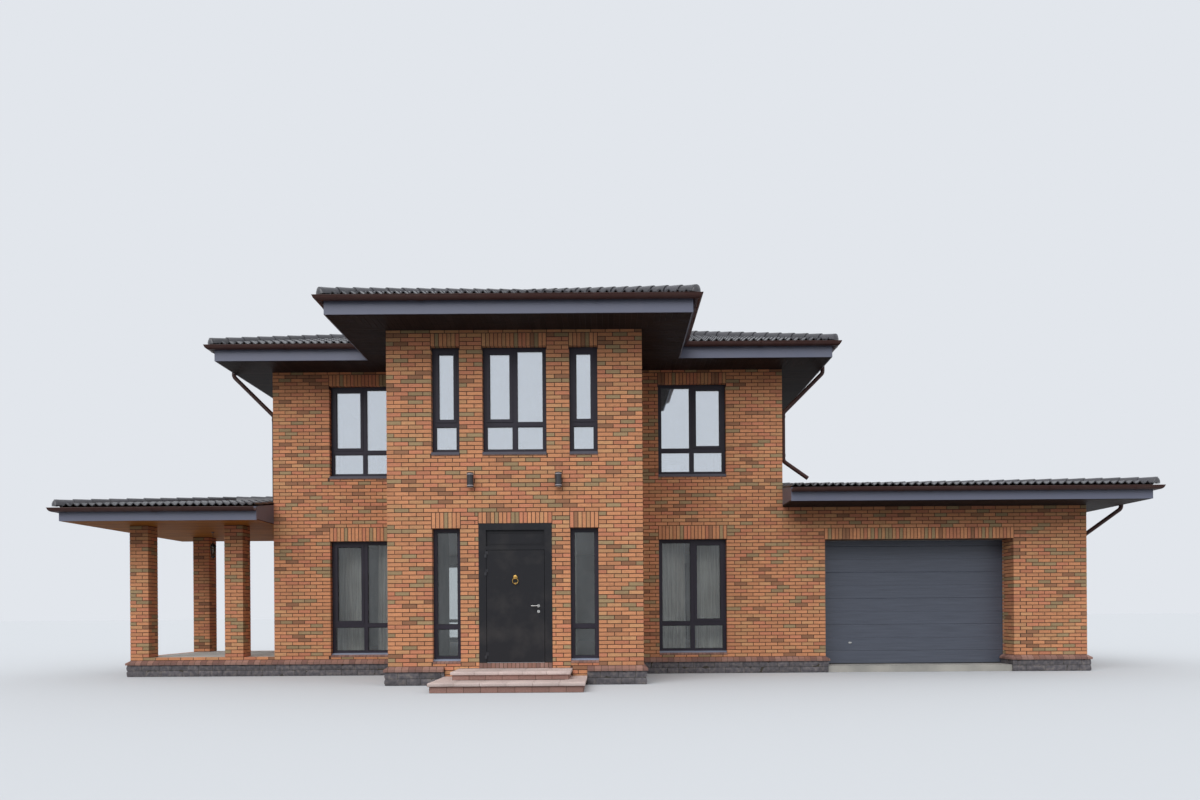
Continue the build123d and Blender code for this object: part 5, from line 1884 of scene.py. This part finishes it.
class Finish:
    """A procedural material with one principled shader, built up from its colour."""

    def __init__(self, name, **values):
        self.material, self.tree = bare(name)
        inputs = {key.replace("_", " "): value for key, value in values.items()}
        self.shader = add(self.tree, "BsdfPrincipled", inputs)
        add(self.tree, "OutputMaterial", {"Surface": self.shader.outputs[0]})
        self.colour = None

    def cloudy(self, scale, detail, stretch=(1, 1, 1), **inputs):
        """Soft noise."""
        return cloudy(self.tree, scale, detail, stretch, **inputs)

    def tone(self):
        """The tone of each brick, tile, board or stone."""
        return add(self.tree, "Attribute", attribute_name="tone").outputs["Fac"]

    def steps(self, value, stops, kind="LINEAR"):
        """Take the colour from a row of shades, each at its place along a value."""
        ramp = add(self.tree, "ValToRGB", {0: value}, stops=stops)
        ramp.color_ramp.interpolation = kind
        self.colour = ramp.outputs[0]

    def mix(self, factor, shade):
        """Mix another shade into the colour."""
        self.colour = self.blend(factor, self.colour, shade)

    def vary(self, value, low, high, start=0.0, end=1.0):
        """Make the colour darker and lighter with a value."""
        light = ranged(self.tree, value, low, high, start, end)
        self.colour = self.blend(1.0, self.colour, light, "MULTIPLY")

    def blend(self, factor, first, second, kind="MIX"):
        """Two colours mixed by a factor."""
        inputs = {"Factor": factor, 6: first, 7: second}
        return add(self.tree, "Mix", inputs, data_type="RGBA", blend_type=kind).outputs[2]

    def veil(self, value, start, most, shade):
        """Lay a shade over the colour where a value is high, such as dust or a stain."""
        self.mix(ranged(self.tree, value, 0.0, most, start, 0.8), shade)

    def rough(self, value, low, high, start=0.0, end=1.0):
        """Let the roughness follow a value."""
        number = ranged(self.tree, value, low, high, start, end)
        self.tree.links.new(number, self.shader.inputs["Roughness"])

    def bumps(self, height, depth):
        """Give the surface the bumps of a height pattern, depth metres high."""
        bump = add(self.tree, "Bump", {"Height": height, "Distance": depth, "Strength": 1.0})
        self.tree.links.new(bump.outputs[0], self.shader.inputs["Normal"])

    def done(self):
        """The material, with its colour joined up."""
        self.tree.links.new(self.colour, self.shader.inputs["Base Color"])
        return self.material


def row_of(codes, start, end):
    """Stops of a row of hex shades spread evenly between two places."""
    last = len(codes) - 1
    return [(start + (end - start) * i / last, linear(code)) for i, code in enumerate(codes)]


def speckled(name, shades, size, roughness, depth=0.0, grain=0.004, **values):
    """A finish whose shades drift over patches of a size in metres, with a fine grain on top."""
    f = Finish(name, **values)
    patches, fine = f.cloudy(1 / size, 4.0), f.cloudy(1 / grain, 2.0)
    f.steps(patches, row_of(shades, 0.3, 0.7))
    f.vary(fine, 0.86, 1.14)
    f.rough(patches, *roughness, 0.3, 0.7)
    if depth:
        f.bumps(fine, depth)
    return f.done()


def rubber_finish(name, shades=("202023", "2A2A2D"), roughness=(0.5, 0.65)):
    """Black rubber."""
    return speckled(name, shades, 0.05, roughness)


def brick_finish():
    """Fired facing brick: each brick has its own shade from the kiln, cloudy and a little sandy."""
    b = bricks()
    f = Finish("Fired facing brick")
    tone = f.tone()
    shades = [(0.0, b.tan), (0.34, b.ochre), (0.50, b.salmon), (0.66, b.tan), (0.82, b.olive),
              (0.93, b.umber)]
    f.steps(tone, [(place, tuple(shade)) for place, shade in shades], "CONSTANT")
    # A second number for each brick from the same tone, for how light it is
    f.vary(maths(f.tree, "FRACT", maths(f.tree, "MULTIPLY", tone, 57.0)), 0.88, 1.12)
    # Flashed patches about as long as half a brick, and sand and drag marks some 3 to 9 mm wide
    clouds = f.cloudy(9.0, 3.0, (1, 1, 2))
    f.mix(ranged(f.tree, clouds, 0.0, 0.3, 0.52, 0.72), tuple(b.umber))
    sand = f.cloudy(110.0, 5.0, Roughness=0.7)
    f.vary(sand, 0.76, 1.22, 0.3, 0.7)
    f.rough(clouds, 0.92, 0.74)
    f.bumps(sand, 0.0025)
    return f.done()


def tile_finish():
    """Glazed concrete tile: anthracite with a soft shine, each tile a shade of its own."""
    f = Finish("Satin glazed roof tile", Coat_Weight=0.5, Coat_Roughness=0.2)
    clouds = f.cloudy(6.0, 3.0)
    f.colour = tuple(roof().tile)
    f.vary(f.tone(), 0.72, 1.24)
    f.veil(clouds, 0.5, 0.22, linear("6E6A66"))
    f.rough(clouds, 0.38, 0.6)
    f.bumps(f.cloudy(400.0, 2.0), 0.0006)
    return f.done()


def coated(name, shade, roughness=0.38, shine=0.5):
    """Coated steel sheet: even and satin, its coat a little orange-peeled, with light dust."""
    f = Finish(name, Specular_IOR_Level=shine)
    dust = f.cloudy(3.0, 5.0)
    f.colour = linear(shade) if isinstance(shade, str) else tuple(shade)
    f.veil(dust, 0.45, 0.07, linear("9A938C"))
    f.rough(dust, roughness - 0.08, roughness + 0.14)
    f.bumps(f.cloudy(160.0, 1.0), 0.0004)
    return f.done()


def gutter_coat():
    """Chocolate brown coat of gutters and downpipes."""
    brown = roof().gutter
    return coated("Chocolate brown coated steel", brown, 0.42, 0.3)


def door_coat():
    """Fine textured anthracite coat."""
    return coated("Anthracite textured door coat", "242428", 0.55, 0.2)


def board_finish(name, light, dark, roughness):
    """Planed board: fine grain drawn along the board, each board a little lighter or darker."""
    f = Finish(name, Specular_IOR_Level=0.05)
    grain = f.cloudy(1.0, 6.0, (3, 60, 60))
    f.steps(grain, [(0.35, tuple(dark)), (0.65, tuple(light))])
    f.vary(f.tone(), 0.8, 1.15)
    f.rough(grain, roughness - 0.08, roughness + 0.12)
    f.bumps(grain, 0.0008)
    return f.done()


def stone_finish():
    """Split dark grey stone: cloudy, with rough broken faces, each stone a shade of its own."""
    f = Finish("Split dark grey stone")
    clouds = f.cloudy(14.0, 6.0)
    f.steps(clouds, [(0.35, linear("4E4B50")), (0.52, linear("615D61")), (0.68, linear("77706E"))])
    f.vary(f.tone(), 0.84, 1.18)
    f.rough(clouds, 0.66, 0.9)
    f.bumps(f.cloudy(70.0, 6.0), 0.004)
    return f.done()


def clinker_finish():
    """Dense clinker brick: smooth and fused, pinkish tan, a little shiny."""
    f = Finish("Fused clinker brick", Coat_Weight=0.15, Coat_Roughness=0.4)
    f.steps(f.tone(), [(0.0, linear("8A6152")), (0.4, linear("9B766A")), (0.75, linear("7A584F"))])
    clouds = f.cloudy(20.0, 4.0)
    f.vary(clouds, 0.78, 1.2)
    f.rough(clouds, 0.45, 0.7)
    f.bumps(f.cloudy(300.0, 2.0), 0.0008)
    return f.done()


def sawn_stone_finish(name, shades, depth=0.0012):
    """Speckled stone cut to size: crystals of three shades, drawn 4 mm wide, each block its own."""
    f = Finish(name)
    crystals = add(f.tree, "TexVoronoi", {"Vector": place_on(f.tree), "Scale": 250.0})
    f.steps(crystals.outputs["Color"], row_of(shades[::-1], 0.2, 0.8))
    f.vary(f.tone(), 0.90, 1.10)
    stain = f.cloudy(5.0, 5.0)
    f.veil(stain, 0.5, 0.3, linear("7E6E66"))
    f.rough(stain, 0.6, 0.85)
    f.bumps(f.cloudy(180.0, 3.0), depth)
    return f.done()


def net_finish():
    """Sheer polyester curtain: pale grey beige, its weave drawn 3 mm wide so that it shows."""
    f = Finish("Sheer polyester net", Sheen_Weight=0.3, Roughness=0.85)
    weave = add(f.tree, "TexWave", {"Vector": place_on(f.tree), "Scale": 50.0, "Distortion": 0.3},
                bands_direction="Z").outputs[1]
    f.steps(f.cloudy(1.0, 3.0, (30, 30, 1)), [(0.35, linear("B5AFA6")), (0.65, linear("D6D1C8"))])
    f.vary(weave, 0.93, 1.05)
    f.bumps(weave, 0.0006)
    return f.done()


def metal_finish(name, code, roughness, lined=(1, 1, 1)):
    """Bare metal: fine marks in its polish, and hazy patches where it has been touched."""
    f = Finish(name, Metallic=1.0)
    haze = f.cloudy(40.0, 4.0)
    f.colour = linear(code)
    f.vary(haze, 0.82, 1.06, 0.3, 0.7)
    f.rough(haze, roughness - 0.06, roughness + 0.12)
    f.bumps(f.cloudy(900.0, 1.0, lined), 0.00008)
    return f.done()


def brass_finish():
    """Polished brass that has aged a little."""
    return metal_finish("Aged polished brass", "C9A35C", 0.26)


def steel_finish():
    """Satin stainless steel."""
    return metal_finish("Satin stainless steel", "C6C5C2", 0.3)


def aluminium_finish(name, code):
    """Drawn aluminium with fine lines along it."""
    return metal_finish(name, code, 0.38, (0.05, 1, 1))


def glass_finish(name, tint, mirror):
    """Double glazing: it shows the sky at every angle, most at a slant, and the room behind it."""
    material, tree = bare(name)
    slant = add(tree, "Fresnel", {"IOR": 1.5}).outputs[0]
    least = ranged(tree, cloudy(tree, 2.0, 3.0), mirror - 0.03, mirror + 0.03)
    share = maths(tree, "MAXIMUM", slant, least)
    # Panes are never quite flat, so what they mirror bends a little
    bend = add(tree, "Bump", {"Height": cloudy(tree, 1.3, 1.0), "Distance": 0.004, "Strength": 1.0})
    clear = add(tree, "BsdfTransparent", {"Color": linear(tint)})
    shine = add(tree, "BsdfGlossy", {"Color": linear(tint), "Roughness": 0.02,
                                     "Normal": bend.outputs[0]})
    mix = add(tree, "MixShader", {0: share, 1: clear.outputs[0], 2: shine.outputs[0]})
    add(tree, "OutputMaterial", {"Surface": mix.outputs[0]})
    return material


def inside(tree, low, high):
    """1 inside an upright box between two corners in plan, and 0 outside it."""
    place = add(tree, "SeparateXYZ", {0: place_on(tree)})
    near = [maths(tree, "COMPARE", place.outputs[axis], (low[axis] + high[axis]) / 2,
                  (high[axis] - low[axis]) / 2) for axis in range(2)]
    return maths(tree, "MULTIPLY", *near)


def wall_finish():
    """Walls behind the bricks: dark brown mortar outside, and pale plaster where a room is."""
    n = house_lines()
    f = Finish("Brown mortar and pale plaster")
    sand, patches = f.cloudy(280.0, 3.0), f.cloudy(3.0, 4.0)
    skin = 0.06
    deep = n.wall - skin
    rooms = [
        (-n.half, n.front, n.half, n.rear),
        (-n.bay_half, n.bay_front, n.bay_half, n.front + 2 * n.wall),
        (n.half, n.front, n.garage_right, n.garage_rear),
    ]
    within = 0.0
    for x0, y0, x1, y1 in rooms:
        room = inside(f.tree, (x0 + deep, y0 + deep), (x1 - deep, y1 - deep))
        within = maths(f.tree, "MAXIMUM", within, room)
    f.colour = tuple(bricks().mortar)
    f.mix(within, linear("CFC9BF"))
    f.vary(patches, 0.88, 1.12, 0.3, 0.7)
    f.vary(sand, 0.85, 1.15)
    f.rough(patches, 0.85, 0.95)
    f.bumps(sand, 0.0015)
    return f.done()


def paving_finish():
    """Pale concrete slabs 300 mm square, with joints drawn 6 mm wide."""
    f = Finish("Pale concrete slabs")
    slabs = add(f.tree, "TexBrick", {
        "Vector": place_on(f.tree), "Color1": linear("C8C7C2"), "Color2": linear("B9B8B3"),
        "Mortar": linear("8C8984"), "Scale": 1.0, "Mortar Size": 0.003, "Brick Width": 0.3,
        "Row Height": 0.3,
    }, offset=0.0)
    fine = f.cloudy(160.0, 4.0)
    f.colour = slabs.outputs[0]
    f.vary(fine, 0.88, 1.1)
    f.rough(fine, 0.7, 0.9)
    f.bumps(slabs.outputs[1], -0.003)
    return f.done()


def embossed_finish(name, light, dark):
    """Coated steel pressed with a wood grain that runs along the section."""
    f = Finish(name, Coat_Weight=0.2, Coat_Roughness=0.4)
    grain = f.cloudy(1.0, 5.0, (1.6, 1, 46))
    f.steps(grain, [(0.3, linear(dark)), (0.7, linear(light))])
    f.rough(grain, 0.36, 0.56)
    f.bumps(grain, 0.0015)
    return f.done()


def node_finishes():
    """The finish of each CAD node, and the nodes that have it."""
    mortar = (0.2, (0.85, 0.95), 0.0015)
    timber = board_finish("Sawn roof timber", linear("A9855C"), linear("7F6040"), 0.75)
    return {
        wall_finish(): [
            "wing_walls", "bay_side_walls", "bay_ground_walls", "bay_upper_wall", "side_walls",
            "rear_wall", "garage_piers", "garage_lintel_wall", "garage_side_wall",
            "garage_rear_wall", "porch_base", "porch_pillars"],
        speckled("Brown bedding mortar", ("54402F", "66503F"), *mortar): [
            "sill_course", "door_threshold", "window_sills", "step_risers"],
        speckled("Dark bedding mortar", ("37342F", "464037"), *mortar): ["stone_plinth"],
        paving_finish(): ["porch_floor"],
        speckled("Matt oak floor", ("9A7A58", "AA8A66"), 0.3, (0.45, 0.6), 0.0006): [
            "ground_floor", "upper_floor"],
        speckled("Trowelled concrete", ("9C9A95", "ABA8A2", "B5B2AB"), 0.5, (0.7, 0.9), 0.001): [
            "upper_ceiling", "garage_floor"],
        speckled("Anthracite frame foil", ("2A2630", "322E39"), 0.4, (0.38, 0.5), 0.0002, 0.002,
                 Specular_IOR_Level=0.25): [
            "front_window_frames", "side_window_frames", "rear_window_frames", "window_sashes"],
        glass_finish("Sky lit double glazing", "F2F6FA", 0.66): ["upper_window_glass"],
        glass_finish("Clear double glazing", "EEF0F0", 0.07): ["lower_window_glass"],
        door_coat(): ["door_frame", "door_leaf", "door_transom_panel"],
        coated("Anthracite hinge coat", "2A2A30", 0.42): ["door_hinge_posts", "door_leaf_hinges"],
        steel_finish(): ["door_lever", "door_roses", "garage_door_handle"],
        brass_finish(): ["knocker_boss", "knocker_ring"],
        embossed_finish("Blue grey embossed steel", "505664", "454A57"): ["garage_door"],
        coated("Blue grey coated frame", "4A4F5C"): ["garage_door_frame"],
        timber: ["main_roof_deck", "garage_roof_deck", "porch_roof_deck", "porch_beams"],
        coated("Grey coated fascia", roof().fascia): ["fascias"],
        gutter_coat(): ["gutters", "downpipes"],
        speckled("Dark brown soffit bed", ("221D1E", "2A2526"), 0.3, (0.6, 0.7)): ["soffits"],
        speckled("Shaded ceiling bed", ("3A2414", "4A3020"), 0.3, (0.6, 0.7)): ["porch_ceiling"],
        coated("Charcoal lamp coat", "2C2B30", 0.45): ["wall_lamps", "porch_lantern"],
        speckled("Dark tile underside", ("3A3B3E", "46474A"), 0.3, (0.6, 0.75)): [
            "main_roof_tiles", "bay_roof_tiles", "garage_roof_tiles", "porch_roof_tiles",
            "ridge_caps"],
        sawn_stone_finish("Pale stone core", PALE_STONE): ["step_treads"],
    }


class HOUSE_OT_finishes(bpy.types.Operator):
    """Finishes of the packed nodes: mortar, plaster, frames, glass, doors, gutters and floors"""

    bl_idname = "house.finishes"
    bl_label = "Finishes"

    def execute(self, context):
        left = set(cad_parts)
        for material, nodes in node_finishes().items():
            for node in nodes:
                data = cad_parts[node].data
                data.materials.clear()
                data.materials.append(material)
                left.discard(node)
        if left:
            raise RuntimeError("no finish for " + ", ".join(sorted(left)))
        return {"FINISHED"}


OPERATORS = [
    HOUSE_OT_stage,
    HOUSE_OT_finishes,
    HOUSE_OT_brickwork,
    HOUSE_OT_foot,
    HOUSE_OT_steps,
    HOUSE_OT_tiles,
    HOUSE_OT_ridges,
    HOUSE_OT_soffits,
    HOUSE_OT_gutters,
    HOUSE_OT_windows,
    HOUSE_OT_curtains,
    HOUSE_OT_entrance,
    HOUSE_OT_lamps,
    HOUSE_OT_garage,
]


class HOUSE_PT_panel(bpy.types.Panel):
    """Buttons that build each group of pieces of the house"""

    bl_label = "House"
    bl_idname = "HOUSE_PT_panel"
    bl_space_type = "VIEW_3D"
    bl_region_type = "UI"
    bl_category = "House"

    def draw(self, context):
        for operator in OPERATORS:
            self.layout.operator(operator.bl_idname)
        for name, group in GROUPS.items():
            box = self.layout.box()
            box.label(text=group.__doc__)
            for prop in group.__annotations__:
                box.prop(getattr(context.scene, name), prop)


CLASSES = [*GROUPS.values(), *OPERATORS, HOUSE_PT_panel]


def register():
    for cls in CLASSES:
        bpy.utils.register_class(cls)
    for name, group in GROUPS.items():
        setattr(bpy.types.Scene, name, PointerProperty(type=group))


def unregister():
    for name in GROUPS:
        delattr(bpy.types.Scene, name)
    for cls in reversed(CLASSES):
        bpy.utils.unregister_class(cls)


def main():
    register()
    for operator in OPERATORS:
        getattr(bpy.ops.house, operator.bl_idname.split(".")[1])()
    boxes = {"cad": cad_box, "visual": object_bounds()}
    {name: [list(map(float, corner)) for corner in box] for name, box in boxes.items()}


if __name__ == "__main__":
    main()
